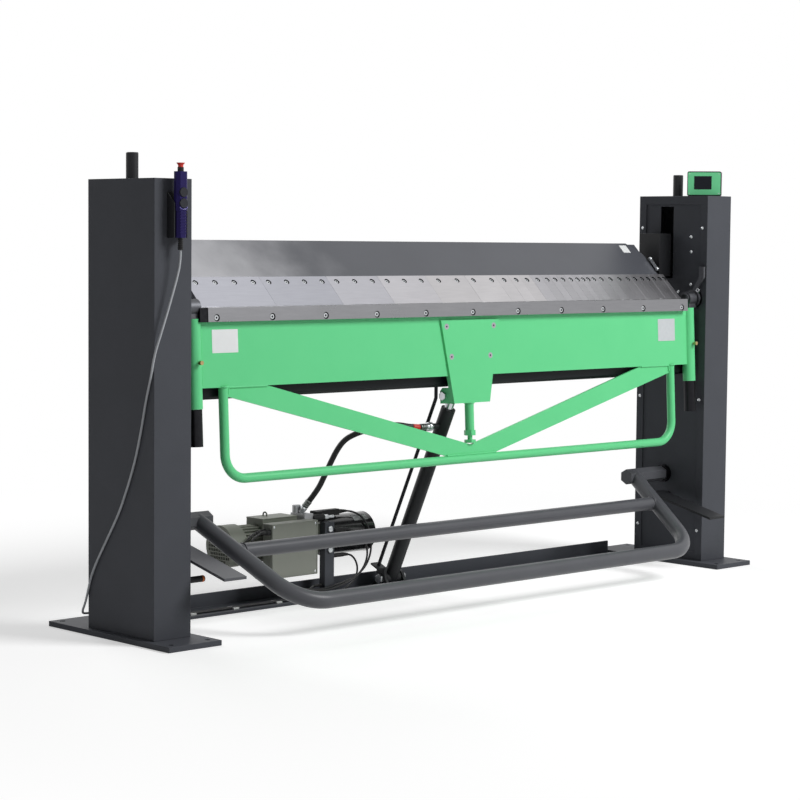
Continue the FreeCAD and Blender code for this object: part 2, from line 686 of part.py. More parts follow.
def column(name, side):
    """Sheet column with an inner window, screw holes and a guide hole for the lifting rod."""
    wall = size.column_wall
    deep = (term(0), size.column_depth)
    shell = box(f"{name}_shell", across(side, size.column_inner, column_outer), deep,
                (size.foot_thickness, column_top))
    hollow = box(f"{name}_hollow", across(side, cover_face, column_outer - wall),
                 (wall, size.column_depth - wall), (size.foot_thickness, column_top - wall))
    margin = size.window_margin
    window = box(f"{name}_window", across(side, size.column_inner, cover_face),
                 (margin, size.column_depth - margin),
                 (size.foot_thickness + margin, column_top - margin))
    guide = round_bar(f"{name}_guide", "Z", size.lift_radius + size.lift_gap,
                      (side * size.lift_x, size.lift_y), (column_top - wall, column_top))
    hub = round_bar(f"{name}_hub_seat", "X", size.hub_radius + size.part_gap, hinge,
                    across(side, size.column_inner, cover_face))
    tools = [hollow, window, guide, hub]
    for number, (along, height) in enumerate(cover_screw_places):
        tools.append(round_bar(f"{name}_screw_hole_{number}", "X", size.cover_screw_radius,
                               (along, height), across(side, size.column_inner, cover_face)))
    return cut(name, shell, *tools)


def column_cover(name, side):
    """Sheet behind the window, with a slot for the top beam's tongue."""
    inset = size.column_wall + size.cover_inset
    depth = across(side, cover_face, cover_face + size.cover_sheet)
    panel = box(f"{name}_panel", depth, (inset, size.column_depth - inset),
                (size.foot_thickness, column_top - inset))
    slot = box(f"{name}_slot", depth, (size.slot_front, size.slot_front + size.slot_width),
               (size.slot_bottom, size.slot_top))
    tools = [slot]
    for number, (along, height) in enumerate(cover_screw_places):
        tools.append(round_bar(f"{name}_screw_hole_{number}", "X", size.cover_screw_radius,
                               (along, height), depth))
    return cut(name, panel, *tools)


def cover_screw_set(name, side):
    """Six button screws through the column's flanges into its cover."""
    screws = []
    for number, place in enumerate(cover_screw_places):
        shank = round_bar(f"{name}_shank_{number}", "X", size.cover_screw_radius, place,
                          across(side, size.column_inner, cover_face + size.cover_sheet))
        head = round_bar(f"{name}_head_{number}", "X", size.cover_head_radius, place,
                         across(side, size.column_inner - size.cover_head_height, size.column_inner))
        screws.append(fuse(f"{name}_{number}", shank, head))
    return group(name, *screws)


def foot_plate(name, side):
    """Floor plate under a column, with two floor bolt holes at each end."""
    low, high = across(side, size.foot_inner, size.foot_outer)
    inset = size.floor_hole_inset
    holes = [
        (x, y, size.floor_hole_radius)
        for x in (low + inset, high - inset)
        for y in (inset - size.foot_front, size.foot_back - inset)
    ]
    outline = [(low, -size.foot_front), (high, -size.foot_front), (high, size.foot_back),
               (low, size.foot_back)]
    return padded(name, "Z", outline, (term(0), size.foot_thickness), holes)


def make_columns():
    """Both columns with what is fixed to them."""
    for word, side in SIDES.items():
        piece(f"{word}_column", column(f"{word}_column", side))
    piece("column_covers", group("column_covers", *mirrored_pair("column_cover", column_cover)))
    piece("cover_screws", group("cover_screws", *mirrored_pair("cover_screw", cover_screw_set)))
    piece("foot_plates", group("foot_plates", *mirrored_pair("foot_plate", foot_plate)))
    length = across(1, -size.foot_inner, size.foot_inner)
    web = box("base_web", length, (size.base_front, size.base_back), (term(0), size.base_web))
    flange = box("base_flange", length, (size.base_back - size.base_web, size.base_back),
                 (term(0), size.base_flange))
    piece("base_channel", fuse("base_channel", web, flange))


lower_beam_top = size.hinge_height - size.lower_blade_height
lower_beam_back = size.lower_beam_front + size.lower_beam_depth
end_tube_back = size.hinge_ahead + size.end_tube_radius


def make_lower_beam():
    """Fixed beam between the columns: full section behind the folding plate, stepped back at the
    ends behind the end tubes, with a relief for the cylinder rod."""
    front = size.lower_beam_front
    bevel = size.lower_beam_bevel
    bottom = size.lower_beam_bottom
    half = size.end_tube_x - size.end_tube_radius - size.part_gap * 5
    outline = [(front + bevel, bottom), (lower_beam_back, bottom), (lower_beam_back, lower_beam_top),
               (front, lower_beam_top), (front, bottom + bevel)]
    middle = padded("lower_beam_middle", "X", outline, (-half, half))
    ends = box("lower_beam_ends", (-cover_face, cover_face), (end_tube_back + size.part_gap * 10,
               lower_beam_back), (bottom, lower_beam_top))
    relief = box("lower_beam_relief", (size.cylinder_x - size.relief_width / 2,
                 size.cylinder_x + size.relief_width / 2), (front, front + size.relief_depth),
                 (bottom, bottom + size.relief_height))
    piece("lower_beam", cut("lower_beam", fuse("lower_beam_bars", middle, ends), relief))
    blade_front = size.hinge_ahead + size.part_gap
    piece("lower_blade", box("lower_blade", (-size.work_half, size.work_half),
                             (blade_front, blade_front + size.lower_blade_depth),
                             (lower_beam_top, size.hinge_height)))


def hinge_pin(name, side):
    """Pin of the folding beam with its flange on the cover."""
    pin = round_bar(f"{name}_pin", "X", size.pin_radius, hinge,
                    across(side, size.barrel_start, cover_face))
    flange = round_bar(f"{name}_flange", "X", size.hub_radius, hinge,
                       across(side, cover_face - size.hub_width, cover_face))
    return fuse(name, pin, flange)


def make_lever():
    """Adjusting lever on the right hinge pin: a ring with a cranked flat arm and a clamping bolt."""
    barrel_end = size.barrel_start + size.barrel_width
    flange_face = cover_face - size.hub_width
    start = (barrel_end + flange_face - size.lever_thickness) / 2
    span = (start, start + size.lever_thickness)
    y, z = hinge
    half = size.lever_width / 2
    tip = y - size.lever_offset
    arm = [(tip - half, z + size.lever_reach), (tip - half, z + size.lever_reach + size.lever_end),
           (tip + half, z + size.lever_reach + size.lever_end), (tip + half, z + size.lever_reach),
           (y + half, z + size.pin_radius), (y - half, z + size.pin_radius)]
    ring = round_bar("hinge_lever_ring", "X", size.lever_ring, hinge, span)
    bolt_place = (y - size.lever_offset / 2, z + size.lever_ring)
    bolt = round_bar("hinge_lever_bolt", "X", size.lever_bolt_radius, bolt_place,
                     (span[0] - size.part_gap * 2, span[0]))
    solid = fuse("hinge_lever_solid", padded("hinge_lever_arm", "X", arm, span), ring, bolt)
    bore = round_bar("hinge_lever_bore", "X", size.pin_radius + size.running_gap, hinge, span)
    piece("hinge_lever", cut("hinge_lever", solid, bore))


def bush(name, side):
    """Bush of the foot bar on a cover."""
    span = across(side, cover_face - size.bush_width, cover_face)
    ring = round_bar(f"{name}_ring", "X", size.bush_radius, (size.bar_y, size.bar_z), span)
    bore = round_bar(f"{name}_bore", "X", size.bar_journal + size.running_gap,
                     (size.bar_y, size.bar_z), span)
    return cut(name, ring, bore)


def pedal_pin(name, side):
    """Pin of a pedal on a cover."""
    return round_bar(name, "X", size.pedal_pin_radius, (size.pedal_pivot_y, size.pedal_pivot_z),
                     across(side, size.pedal_inner, cover_face))


def make_side_fittings():
    """Hinge pins, bushes and pedal pins on the covers, and the switch under the left pedal."""
    member("side_pins", *mirrored_pair("hinge_pin", hinge_pin))
    member("side_pins", *mirrored_pair("foot_bar_bush", bush))
    member("side_pins", *mirrored_pair("pedal_pin", pedal_pin))
    member("cable_plugs", round_bar("pedal_sensor", "X", size.sensor_radius,
                                    (size.sensor_y, size.sensor_z),
                                    across(-1, size.sensor_inner, size.column_inner)))


def lean_placement():
    """The folding beam's lean about the bend line."""
    return Placement(Vector(), Rotation(Vector(1, 0, 0), -float(size.lean)), vector(0, *hinge))


LEAN = lean_placement()


def repeated(name, thing, places):
    """Copies of a thing at places, as separate solids."""
    doc.recompute()
    copies = [thing.Shape.translated(place) for place in places]
    feature = doc.addObject("Part::Feature", name)
    feature.Shape = Part.makeCompound(copies)
    return feature


def hexagon(name, axis, across_flats, centre, span):
    """A hexagonal prism along an axis."""
    prism = doc.addObject("Part::Prism", name)
    prism.Polygon = 6
    bind(prism, Circumradius=across_flats / math.sqrt(3), Height=span[1] - span[0])
    places = {
        "X": (span[0], centre[0], centre[1]),
        "Y": (centre[0], span[0], centre[1]),
        "Z": (centre[0], centre[1], span[0]),
    }
    return locate(prism, *places[axis], TURNS[axis])


def make_folding_blade():
    """Folding blade, the dark bar behind it and the row of bolts through both."""
    top = size.hinge_height - size.fold_blade_drop
    upright = (top - size.fold_blade_height, top)
    length = (-size.work_half, size.work_half)
    joint = fold_front + size.fold_blade_depth
    blade = box("folding_blade_blank", length, (fold_front, joint), upright)
    bar = box("blade_bar_blank", length, (joint, plate_front), upright)
    row = size.hinge_height - size.blade_bolt_below
    seat = fold_front + size.fold_blade_depth / 2
    first = -size.blade_bolt_pitch * (size.blade_bolt_count - 1) / 2
    head = round_bar("blade_bolt_head", "Y", size.blade_bolt_head, (first, row),
                     (fold_front + size.part_gap, seat))
    shank = round_bar("blade_bolt_shank", "Y", size.blade_bolt_shank, (first, row),
                      (seat, plate_front))
    socket = hexagon("blade_bolt_socket", "Y", size.blade_bolt_head, (first, row),
                     (fold_front + size.part_gap, (fold_front + seat) / 2))
    bolt = cut("blade_bolt", fuse("blade_bolt_solid", head, shank), socket)
    sink = round_bar("blade_bolt_sink", "Y", size.blade_bolt_sink, (first, row),
                     (fold_front, seat))
    hole = fuse("blade_bolt_hole", sink, shank)
    places = [
        Vector(number * float(size.blade_bolt_pitch), 0, 0)
        for number in range(int(float(size.blade_bolt_count)))
    ]
    holes = repeated("blade_bolt_holes", hole, places)
    piece("folding_blade", cut("folding_blade", blade, holes), LEAN)
    piece("blade_bar", cut("blade_bar", bar, holes), LEAN)
    member("folding_bolts", repeated("blade_bolts", bolt, places))


def end_tube(name, side):
    """Upright tube at an end of the folding plate."""
    return round_bar(name, "Z", size.end_tube_radius, (side * size.end_tube_x, size.hinge_ahead),
                     (size.end_tube_bottom, size.end_tube_top))


def end_bore(name, side):
    """Bore of an end tube."""
    return round_bar(name, "Z", size.end_tube_radius - size.end_tube_wall,
                     (side * size.end_tube_x, size.hinge_ahead),
                     (size.end_tube_bottom, size.end_tube_top))


def end_bar(name, side):
    """Bar held inside an end tube."""
    radius = size.end_tube_radius - size.end_tube_wall - size.part_gap / 2
    return round_bar(name, "Z", radius, (side * size.end_tube_x, size.hinge_ahead),
                     (size.end_bar_bottom, size.end_tube_top - size.end_tube_wall))


tube_front = size.hinge_ahead - size.end_tube_radius


def thumb_shank(name, side):
    """Shank of the screw through an end tube's front."""
    inner = size.hinge_ahead - size.end_tube_radius + size.end_tube_wall + size.part_gap / 2
    return round_bar(name, "Y", size.thumb_screw_radius,
                     (side * size.end_tube_x, size.thumb_screw_height),
                     (tube_front - size.thumb_head_radius, inner))


def thumb_screw(name, side):
    """Screw with a round head that holds the bar in an end tube."""
    place = (side * size.end_tube_x, size.thumb_screw_height)
    head = round_bar(f"{name}_head", "Y", size.thumb_head_radius, place,
                     (tube_front - size.thumb_head_radius - size.thumb_head_length,
                      tube_front - size.thumb_head_radius))
    return fuse(name, thumb_shank(f"{name}_shank", side), head)


def hinge_barrel(name, side):
    """Barrel on top of an end tube that turns on the hinge pin."""
    span = across(side, size.barrel_start, size.barrel_start + size.barrel_width)
    half = size.barrel_foot_half
    round_part = round_bar(f"{name}_round", "X", size.barrel_radius, hinge, span)
    foot = box(f"{name}_foot", span, (hinge[0] - half, hinge[0] + half),
               (size.end_tube_top, size.hinge_height))
    bore = round_bar(f"{name}_bore", "X", size.pin_radius + size.running_gap, hinge, span)
    return cut(name, fuse(f"{name}_solid", round_part, foot), bore)


def make_folding_plate():
    """Folding plate with its end tubes, the bars in them, their screws and the hinge barrels."""
    edge = size.end_tube_x - size.end_tube_radius / 2
    plate = box("folding_plate_sheet", (-edge, edge), (plate_front, size.hinge_ahead),
                (size.fold_plate_bottom, size.hinge_height - size.fold_plate_drop))
    solid = fuse("folding_plate_solid", plate, *mirrored_pair("end_tube", end_tube))
    tools = mirrored_pair("end_bore", end_bore) + mirrored_pair("thumb_hole", thumb_shank)
    clear_x = size.barrel_start - size.part_gap
    tools += [
        box(f"plate_notch_{word}", across(side, clear_x, size.end_tube_x),
            (plate_front, size.hinge_ahead), (size.end_tube_top, size.hinge_height))
        for word, side in SIDES.items()
    ]
    piece("folding_plate", cut("folding_plate", solid, *tools), LEAN)
    member("folding_rods", *mirrored_pair("end_bar", end_bar))
    piece("thumb_screws", group("thumb_screws", *mirrored_pair("thumb_screw", thumb_screw)), LEAN)
    piece("hinge_barrels", group("hinge_barrels", *mirrored_pair("hinge_barrel", hinge_barrel)), LEAN)


def pin_home():
    """The upper pin's place before the folding beam leans."""
    ahead = size.cylinder_pin_y - size.hinge_ahead
    below = size.cylinder_pin_z - size.hinge_height
    y = ahead * cosine(size.lean) - below * sine(size.lean)
    z = ahead * sine(size.lean) + below * cosine(size.lean)
    return size.hinge_ahead + y, size.hinge_height + z


def bracket_edge(height):
    """Half the bracket's width at a height."""
    share = (height - size.bracket_bottom) / (size.bracket_top - size.bracket_bottom)
    return size.bracket_bottom_half + (size.bracket_top_half - size.bracket_bottom_half) * share


def bracket_screw_places():
    """Where the four countersunk screws are, as (x, z)."""
    pairs = ((size.bracket_screw_high_x, size.bracket_screw_high),
             (size.bracket_screw_low_x, size.bracket_screw_low))
    return [(side * x, z) for x, z in pairs for side in (-1, 1)]


bracket_front = plate_front - size.bracket_thickness


def bracket_screw(number, place):
    """Countersunk screw through the bracket plate."""
    flush = bracket_front + size.bracket_screw_radius / 2
    head = cone(f"bracket_screw_head_{number}", "Y",
                (size.bracket_screw_radius, size.bracket_screw_radius / 2), place,
                (bracket_front, flush))
    shank = round_bar(f"bracket_screw_shank_{number}", "Y", size.bracket_screw_radius / 2, place,
                      (flush, plate_front))
    return fuse(f"bracket_screw_{number}", head, shank)


def lug(name, start):
    """Lug behind the bracket that holds the upper pin."""
    corner = size.lug_thickness
    outline = [(plate_front, size.bracket_bottom), (size.lug_back, size.bracket_bottom),
               (size.lug_back, size.lug_top - corner), (size.lug_back - corner, size.lug_top),
               (plate_front, size.lug_top)]
    return padded(name, "X", outline, (start, start + size.lug_thickness))


def make_bracket():
    """Trapezoid bracket in the middle, its flanges, lugs and screws, and the upper pin."""
    bottom, top = size.bracket_bottom, size.bracket_top
    low, high = size.bracket_bottom_half, size.bracket_top_half
    plate = padded("bracket_plate", "Y", [(-low, bottom), (low, bottom), (high, top), (-high, top)],
                   (bracket_front, plate_front))
    deep = (plate_front, plate_front + size.bracket_flange)
    sheet_width = size.bracket_thickness
    edge_low = bracket_edge(bottom)
    edge_high = bracket_edge(size.fold_plate_bottom)
    flange = size.fold_plate_bottom
    right = padded("bracket_flange_right", "Y",
                   [(edge_low - sheet_width, bottom), (edge_low, bottom), (edge_high, flange),
                    (edge_high - sheet_width, flange)], deep)
    left = padded("bracket_flange_left", "Y",
                  [(-edge_low, bottom), (sheet_width - edge_low, bottom),
                   (sheet_width - edge_high, flange), (-edge_high, flange)], deep)
    shelf = box("bracket_shelf", (-low, low), (plate_front, size.hinge_ahead + size.tension_radius),
                (bottom, bottom + sheet_width))
    left_lug_end = size.cylinder_x - size.lug_spacing / 2
    lugs = [lug("lug_left", left_lug_end - size.lug_thickness),
            lug("lug_right", size.cylinder_x + size.lug_spacing / 2)]
    solid = fuse("bracket_solid", plate, right, left, shelf, *lugs)
    home = pin_home()
    span = (left_lug_end - size.lug_thickness,
            size.cylinder_x + size.lug_spacing / 2 + size.lug_thickness)
    pin = round_bar("upper_pin_shank", "X", size.upper_pin_radius, home, span)
    screws = [bracket_screw(number, place) for number, place in enumerate(bracket_screw_places())]
    piece("centre_bracket", cut("centre_bracket", solid, pin, *screws), LEAN)
    member("folding_bolts", *screws)
    head_width = size.upper_pin_head
    head = hexagon("upper_pin_head", "X", head_width, home, (span[0] - size.upper_pin_radius, span[0]))
    nut = hexagon("upper_pin_nut", "X", head_width, home, (span[1], span[1] + size.upper_pin_radius))
    member("folding_bolts", fuse("upper_pin", pin, head, nut))


def make_handle():
    """Tube handle with its brace and the tension rod from the bracket to the brace."""
    corners = [(-1, size.fold_plate_bottom), (-1, size.handle_bottom), (1, size.handle_bottom),
               (1, size.fold_plate_bottom)]
    points = [vector(side * size.handle_half, size.handle_y, height) for side, height in corners]
    bend = float(size.handle_bend)
    tube, _ = swept("handle_tube", points, [bend, bend], size.handle_radius)
    top = size.fold_plate_bottom
    tube_top = size.handle_bottom + size.handle_radius
    upright = size.handle_half - size.handle_radius / 2
    low = size.handle_bottom
    outline = [(-upright, top), (-size.brace_top_half, top), (0, size.brace_middle),
               (size.brace_top_half, top), (upright, top), (upright, size.brace_side),
               (size.brace_low_half, tube_top), (size.brace_low_half, low),
               (-size.brace_low_half, low), (-size.brace_low_half, tube_top),
               (-upright, size.brace_side)]
    half = size.brace_thickness / 2
    brace = padded("brace", "Y", outline, (size.handle_y - half, size.handle_y + half))
    piece("handle_frame", fuse("handle_frame", tube, brace), LEAN)
    centre = (term(0), size.handle_y)
    rod = round_bar("tension_rod_bar", "Z", size.tension_radius, centre,
                    (size.tension_collar, size.bracket_bottom))
    neck = round_bar("tension_rod_neck", "Z", size.tension_neck_radius, centre,
                     (size.tension_nut, size.tension_neck))
    collar = hexagon("tension_rod_collar", "Z", size.nut_half * 2, centre,
                     (size.tension_neck, size.tension_collar))
    nut_foot = size.brace_middle + size.nut_half / 3
    nut = hexagon("tension_rod_nut", "Z", size.nut_half * 2, centre, (nut_foot, size.tension_nut))
    solid = fuse("tension_rod_solid", rod, neck, collar, nut)
    member("folding_rods", cut("tension_rod", solid, brace))


def slope_placement(x=0):
    """Slope coordinates: local x along X, local y up the clamping face, local z out of it."""
    nose = vector(x, size.hinge_ahead, size.hinge_height + size.nose_gap)
    return Placement(nose, Rotation(Vector(1, 0, 0), float(size.segment_slope)))


SEGMENT_WIDTHS = [
    270, 255, 205, 200, 170, 135, 60, 50, 50, 50, 40, 35, 40, 35,
    30, 25, 25, 30, 45, 45, 45, 40, 35, 35, 30, 30, 30, 20,
]
WIDE_SEGMENTS = 6
WIDE_BOLTS = [(4, 69.5), (4, 67.7), (3, 71), (3, 71), (2, 80), (2, 81)]


def segment_edges():
    """Left and right edge of every clamping segment."""
    edges = []
    left = -float(size.work_half)
    for width in SEGMENT_WIDTHS:
        edges.append((left, left + width - float(size.segment_gap)))
        left += width
    return edges


def segment_bolt_places():
    """X of every segment bolt, for each segment in turn."""
    places = []
    for number, (left, right) in enumerate(segment_edges()):
        count, pitch = WIDE_BOLTS[number] if number < WIDE_SEGMENTS else (1, 0)
        middle = (left + right) / 2
        places.append([middle + pitch * (item - (count - 1) / 2) for item in range(count)])
    return places


def segment_outline():
    """Section of a segment: face up the slope, squared back, flat underside from the nose."""
    thick = size.segment_thickness
    nose_y = size.hinge_ahead
    nose_z = size.hinge_height + size.nose_gap
    top_y = nose_y + size.segment_length * run
    top_z = nose_z + size.segment_length * rise
    back_y = top_y + thick * rise
    back_z = top_z - thick * run
    heel_y = nose_y + thick / rise
    return [(nose_y, nose_z), (top_y, top_z), (back_y, back_z), (heel_y, nose_z)]


def make_segments():
    """Clamping segments, each with its counterbored bolt holes, and the bolts."""
    head_seat = -size.segment_head_height
    beam_reach = size.segment_head_radius * 2
    centre = (term(0), size.segment_bolt_up)
    sink = round_bar("segment_sink", "Z", size.segment_sink_radius, centre,
                     (head_seat, term(0)))
    through = round_bar("segment_through", "Z", size.segment_bolt_radius, centre,
                        (-size.segment_thickness, head_seat))
    head = round_bar("segment_bolt_head", "Z", size.segment_head_radius, centre,
                     (head_seat, -size.part_gap))
    shank = round_bar("segment_bolt_shank", "Z", size.segment_bolt_radius, centre,
                      (-size.segment_thickness - beam_reach, head_seat))
    socket = hexagon("segment_bolt_socket", "Z", size.segment_head_radius, centre,
                     (head_seat / 2, -size.part_gap))
    bolt = cut("segment_bolt", fuse("segment_bolt_solid", head, shank), socket)
    hole = fuse("segment_hole", sink, through)
    doc.recompute()
    bolts = []
    outline = segment_outline()
    for number, ((left, right), places) in enumerate(zip(segment_edges(), segment_bolt_places())):
        blank = padded(f"segment_{number}", "X", outline, (term(left), term(right)))
        tools = []
        for place in places:
            spot = slope_placement(place).toMatrix()
            tools.append(hole.Shape.transformed(spot, True))
            bolts.append(bolt.Shape.transformed(spot, True))
        holes = doc.addObject("Part::Feature", f"segment_holes_{number}")
        holes.Shape = Part.makeCompound(tools)
        member("clamping_segments", cut(f"clamping_segment_{number}", blank, holes))
    row = doc.addObject("Part::Feature", "segment_bolt_row")
    row.Shape = Part.makeCompound(bolts)
    piece("segment_bolts", row)
    return row


def make_top_beam(bolts):
    """Top beam behind the segments and its sloped plate with chamfered corners."""
    outline = segment_outline()
    top_y, top_z = outline[1]
    heel_y, heel_z = outline[3]
    bottom = size.top_beam_bottom
    back = size.top_beam_back
    foot = (heel_y + (bottom - heel_z) * run / rise, bottom)
    under = (top_y + size.top_plate_sheet * rise, top_z - size.top_plate_sheet * run)
    shoulder_z = under[1] + size.top_plate_length * rise
    shoulder = (under[0] + size.top_plate_length * run, shoulder_z)
    section = [foot, outline[2], under, shoulder, (back, shoulder_z), (back, bottom)]
    solid = padded("top_beam_solid", "X", section, (-size.top_half, size.top_half))
    piece("top_beam", cut("top_beam", solid, bolts))
    start = size.segment_length
    half = size.top_half
    edges = [
        (half, start),
        (half, start + size.top_plate_side),
        (half - size.top_plate_chamfer_in, start + size.top_plate_chamfer),
        (half - size.top_plate_top_in, start + size.top_plate_length),
    ]
    plate = edges + [(-x, up) for x, up in reversed(edges)]
    piece("top_plate", padded("top_plate", "Z", plate, (-size.top_plate_sheet, term(0))),
          slope_placement())


def carrier(name, side):
    """Arm, block and tongue at an end of the top beam, with a collar round the lifting rod."""
    arm = box(f"{name}_arm", across(side, size.top_half, size.carrier_inner),
              (size.arm_front, size.arm_front + size.arm_width),
              (size.carrier_bottom, size.carrier_bottom + size.arm_height))
    end = size.column_inner - size.carrier_gap
    block = box(f"{name}_block", across(side, size.carrier_inner, end),
                (size.carrier_front, size.carrier_front + size.carrier_depth),
                (size.carrier_bottom, size.carrier_bottom + size.carrier_height))
    upright = (size.tongue_bottom, size.tongue_bottom + size.tongue_height)
    tongue = box(f"{name}_tongue", across(side, end, size.lift_x),
                 (size.tongue_front, size.tongue_front + size.tongue_width), upright)
    centre = (side * size.lift_x, size.lift_y)
    collar = round_bar(f"{name}_collar", "Z", size.lift_radius + size.collar_wall, centre, upright)
    bore = round_bar(f"{name}_bore", "Z", size.lift_radius, centre, upright)
    return cut(name, fuse(f"{name}_solid", arm, block, tongue, collar), bore)


def lift_rod(name, side):
    """Lifting rod of the top beam, with a bevelled top."""
    centre = (side * size.lift_x, size.lift_y)
    bevel = size.lift_bevel
    bar = round_bar(f"{name}_bar", "Z", size.lift_radius, centre,
                    (size.lift_bottom, size.lift_top - bevel))
    top = cone(f"{name}_top", "Z", (size.lift_radius, size.lift_radius - bevel), centre,
               (size.lift_top - bevel, size.lift_top))
    return fuse(name, bar, top)


def make_lifting():
    """Carriers and lifting rods of the top beam."""
    piece("beam_carriers", group("beam_carriers", *mirrored_pair("beam_carrier", carrier)))
    piece("lift_rods", group("lift_rods", *mirrored_pair("lift_rod", lift_rod)))


CYLINDER_REACH = math.hypot(float(size.cylinder_foot_y) - float(size.cylinder_pin_y),
                            float(size.cylinder_pin_z) - float(size.cylinder_foot_z))
CYLINDER_ANGLE = math.degrees(math.atan2(float(size.cylinder_foot_y) - float(size.cylinder_pin_y),
                                         float(size.cylinder_pin_z) - float(size.cylinder_foot_z)))
CYLINDER = Placement(vector(size.cylinder_x, size.cylinder_foot_y, size.cylinder_foot_z),
                     Rotation(Vector(1, 0, 0), CYLINDER_ANGLE))


def make_cylinder():
    """Folding cylinder: barrel with its lower eye and hose fitting, and the rod with a hooked eye."""
    middle = (term(0), term(0))
    bore_radius = size.cylinder_radius - size.cylinder_wall
    mouth = size.cylinder_length
    gland = mouth - size.cylinder_radius
    tube = round_bar("barrel_tube", "Z", size.cylinder_radius, middle, (term(0), mouth))
    half = size.foot_eye_width / 2
    eye = round_bar("barrel_eye", "X", size.foot_eye_radius, middle, (-half, half))
    fitting_place = (term(0), size.fitting_height)
    boss = round_bar("barrel_boss", "X", size.fitting_radius, fitting_place,
                     (-size.fitting_reach, term(0)))
    neck = size.foot_eye_radius + size.lower_pin_radius
    chamber = round_bar("barrel_chamber", "Z", bore_radius, middle, (neck, gland))
    pin_hole = round_bar("barrel_pin_hole", "X", size.lower_pin_radius + size.running_gap, middle,
                         (-half, half))
    rod_hole = round_bar("barrel_rod_hole", "Z", size.rod_radius + size.running_gap, middle,
                         (gland, mouth))
    barrel = cut("cylinder_barrel", fuse("barrel_solid", tube, eye, boss), chamber, pin_hole, rod_hole)
    piece("cylinder_barrel", barrel, CYLINDER)
    reach = term(CYLINDER_REACH)
    rod_top = reach - size.rod_neck_length
    rod = round_bar("rod_bar", "Z", size.rod_radius, middle, (mouth - size.rod_inside, rod_top))
    neck_bar = round_bar("rod_neck", "Z", size.rod_neck_radius, middle, (rod_top, reach))
    half = size.eye_width / 2
    centre = (term(0), reach)
    ring = round_bar("rod_ring", "X", size.eye_radius, centre, (-half, half))
    hole_radius = size.upper_pin_radius + size.hook_gap
    hole = round_bar("rod_hole", "X", hole_radius, centre, (-half, half))
    slot = doc.addObject("Part::Box", "rod_slot")
    bind(slot, Length=size.eye_width, Width=hole_radius * 2, Height=size.eye_radius * 2)
    turn = size.hook_turn
    locate(slot, -half, -hole_radius * cosine(turn), reach - hole_radius * sine(turn),
           Rotation(Vector(1, 0, 0), float(turn)))
    piece("cylinder_rod", cut("cylinder_rod", fuse("rod_solid", rod, neck_bar, ring), hole, slot),
          CYLINDER)


def ear(name, start):
    """Ear of the cylinder's lower clevis on the base channel."""
    y, z = size.cylinder_foot_y, size.cylinder_foot_z
    half = size.ear_half
    radius = size.ear_radius
    span = (start, start + size.ear_thickness)
    outline = [(y - half, size.base_web), (y + half, size.base_web), (y + radius, z),
               (y - radius, z)]
    foot = padded(f"{name}_foot", "X", outline, span)
    top = round_bar(f"{name}_top", "X", radius, (y, z), span)
    return fuse(name, foot, top)


def make_clevis():
    """Lower clevis with its tab for the tie rod, the lower pin and the tie rod."""
    left = size.cylinder_x - size.ear_spacing / 2 - size.ear_thickness
    right = size.cylinder_x + size.ear_spacing / 2
    y, z = size.cylinder_foot_y, size.cylinder_foot_z
    half = size.tie_tab / 2
    thick = size.tie_sheet
    post = box("clevis_post", (left, left + size.ear_thickness), (y - half, y + half),
               (z, size.tie_low_z - thick))
    tab = doc.addObject("Part::Box", "clevis_tab")
    bind(tab, Length=size.tie_tab, Width=size.tie_tab, Height=thick)
    lean = math.degrees(math.atan2(float(size.tie_low_y) - float(size.tie_top_y),
                                   float(size.tie_bend_z) - float(size.tie_low_z)))
    tilt = Rotation(Vector(1, 0, 0), lean)
    corner = vector(size.tie_x, size.tie_low_y, size.tie_low_z)
    tab.Placement = Placement(corner + tilt.multVec(vector(-half, -half, -thick)), tilt)
    ears = [ear("ear_left", left), ear("ear_right", right)]
    end = right + size.ear_thickness
    pin = round_bar("lower_pin_shank", "X", size.lower_pin_radius, (y, z), (left, end))
    piece("cylinder_clevis", cut("cylinder_clevis", fuse("clevis_solid", *ears, post, tab), pin))
    head = hexagon("lower_pin_head", "X", size.lower_pin_head, (y, z),
                   (left - size.lower_pin_radius, left))
    nut = hexagon("lower_pin_nut", "X", size.lower_pin_head, (y, z),
                  (end, end + size.lower_pin_radius))
    member("frame_bolts", fuse("lower_pin", pin, head, nut))
    points = [
        vector(size.tie_x, size.tie_top_y, size.lower_beam_bottom),
        vector(size.tie_x, size.tie_top_y, size.tie_bend_z),
        vector(size.tie_x, size.tie_low_y, size.tie_low_z),
    ]
    rod, _ = swept("tie_rod", points, [float(size.tie_radius) * 3], size.tie_radius)
    piece("tie_rod", rod)


def stub_shaft(name, side):
    """Hexagonal stub shaft of the foot bar with a journal in the bush."""
    centre = (size.bar_y, size.bar_z)
    inner = size.bar_arm_x - size.bar_hex_inside
    bush_face = cover_face - size.bush_width
    shaft = hexagon(f"{name}_hex", "X", size.bar_hex, centre,
                    across(side, inner, bush_face - size.part_gap))
    journal = round_bar(f"{name}_journal", "X", size.bar_journal, centre,
                        across(side, inner, cover_face - size.part_gap))
    return fuse(name, shaft, journal)


def make_foot_bar():
    """Foot bar: a bent tube and a straight rail between two stub shafts."""
    arm = [size.bar_arm_x, size.bar_y, size.bar_z]
    corner = [size.bar_corner_x, size.bar_corner_y, size.bar_corner_z]
    points = [vector(side * place[0], place[1], place[2])
              for side, place in ((-1, arm), (-1, corner), (1, corner), (1, arm))]
    bend = float(size.bar_bend)
    tube, _ = swept("foot_bar_tube", points, [bend, bend], size.bar_radius)
    share = size.bar_rail_share
    rail_x, rail_y, rail_z = (a + (b - a) * share for a, b in zip(arm, corner))
    rail = round_bar("foot_bar_rail", "X", size.bar_rail_radius, (rail_y, rail_z),
                     (-rail_x, rail_x))
    shafts = mirrored_pair("foot_bar_shaft", stub_shaft)
    piece("foot_bar", fuse("foot_bar", tube, rail, *shafts))


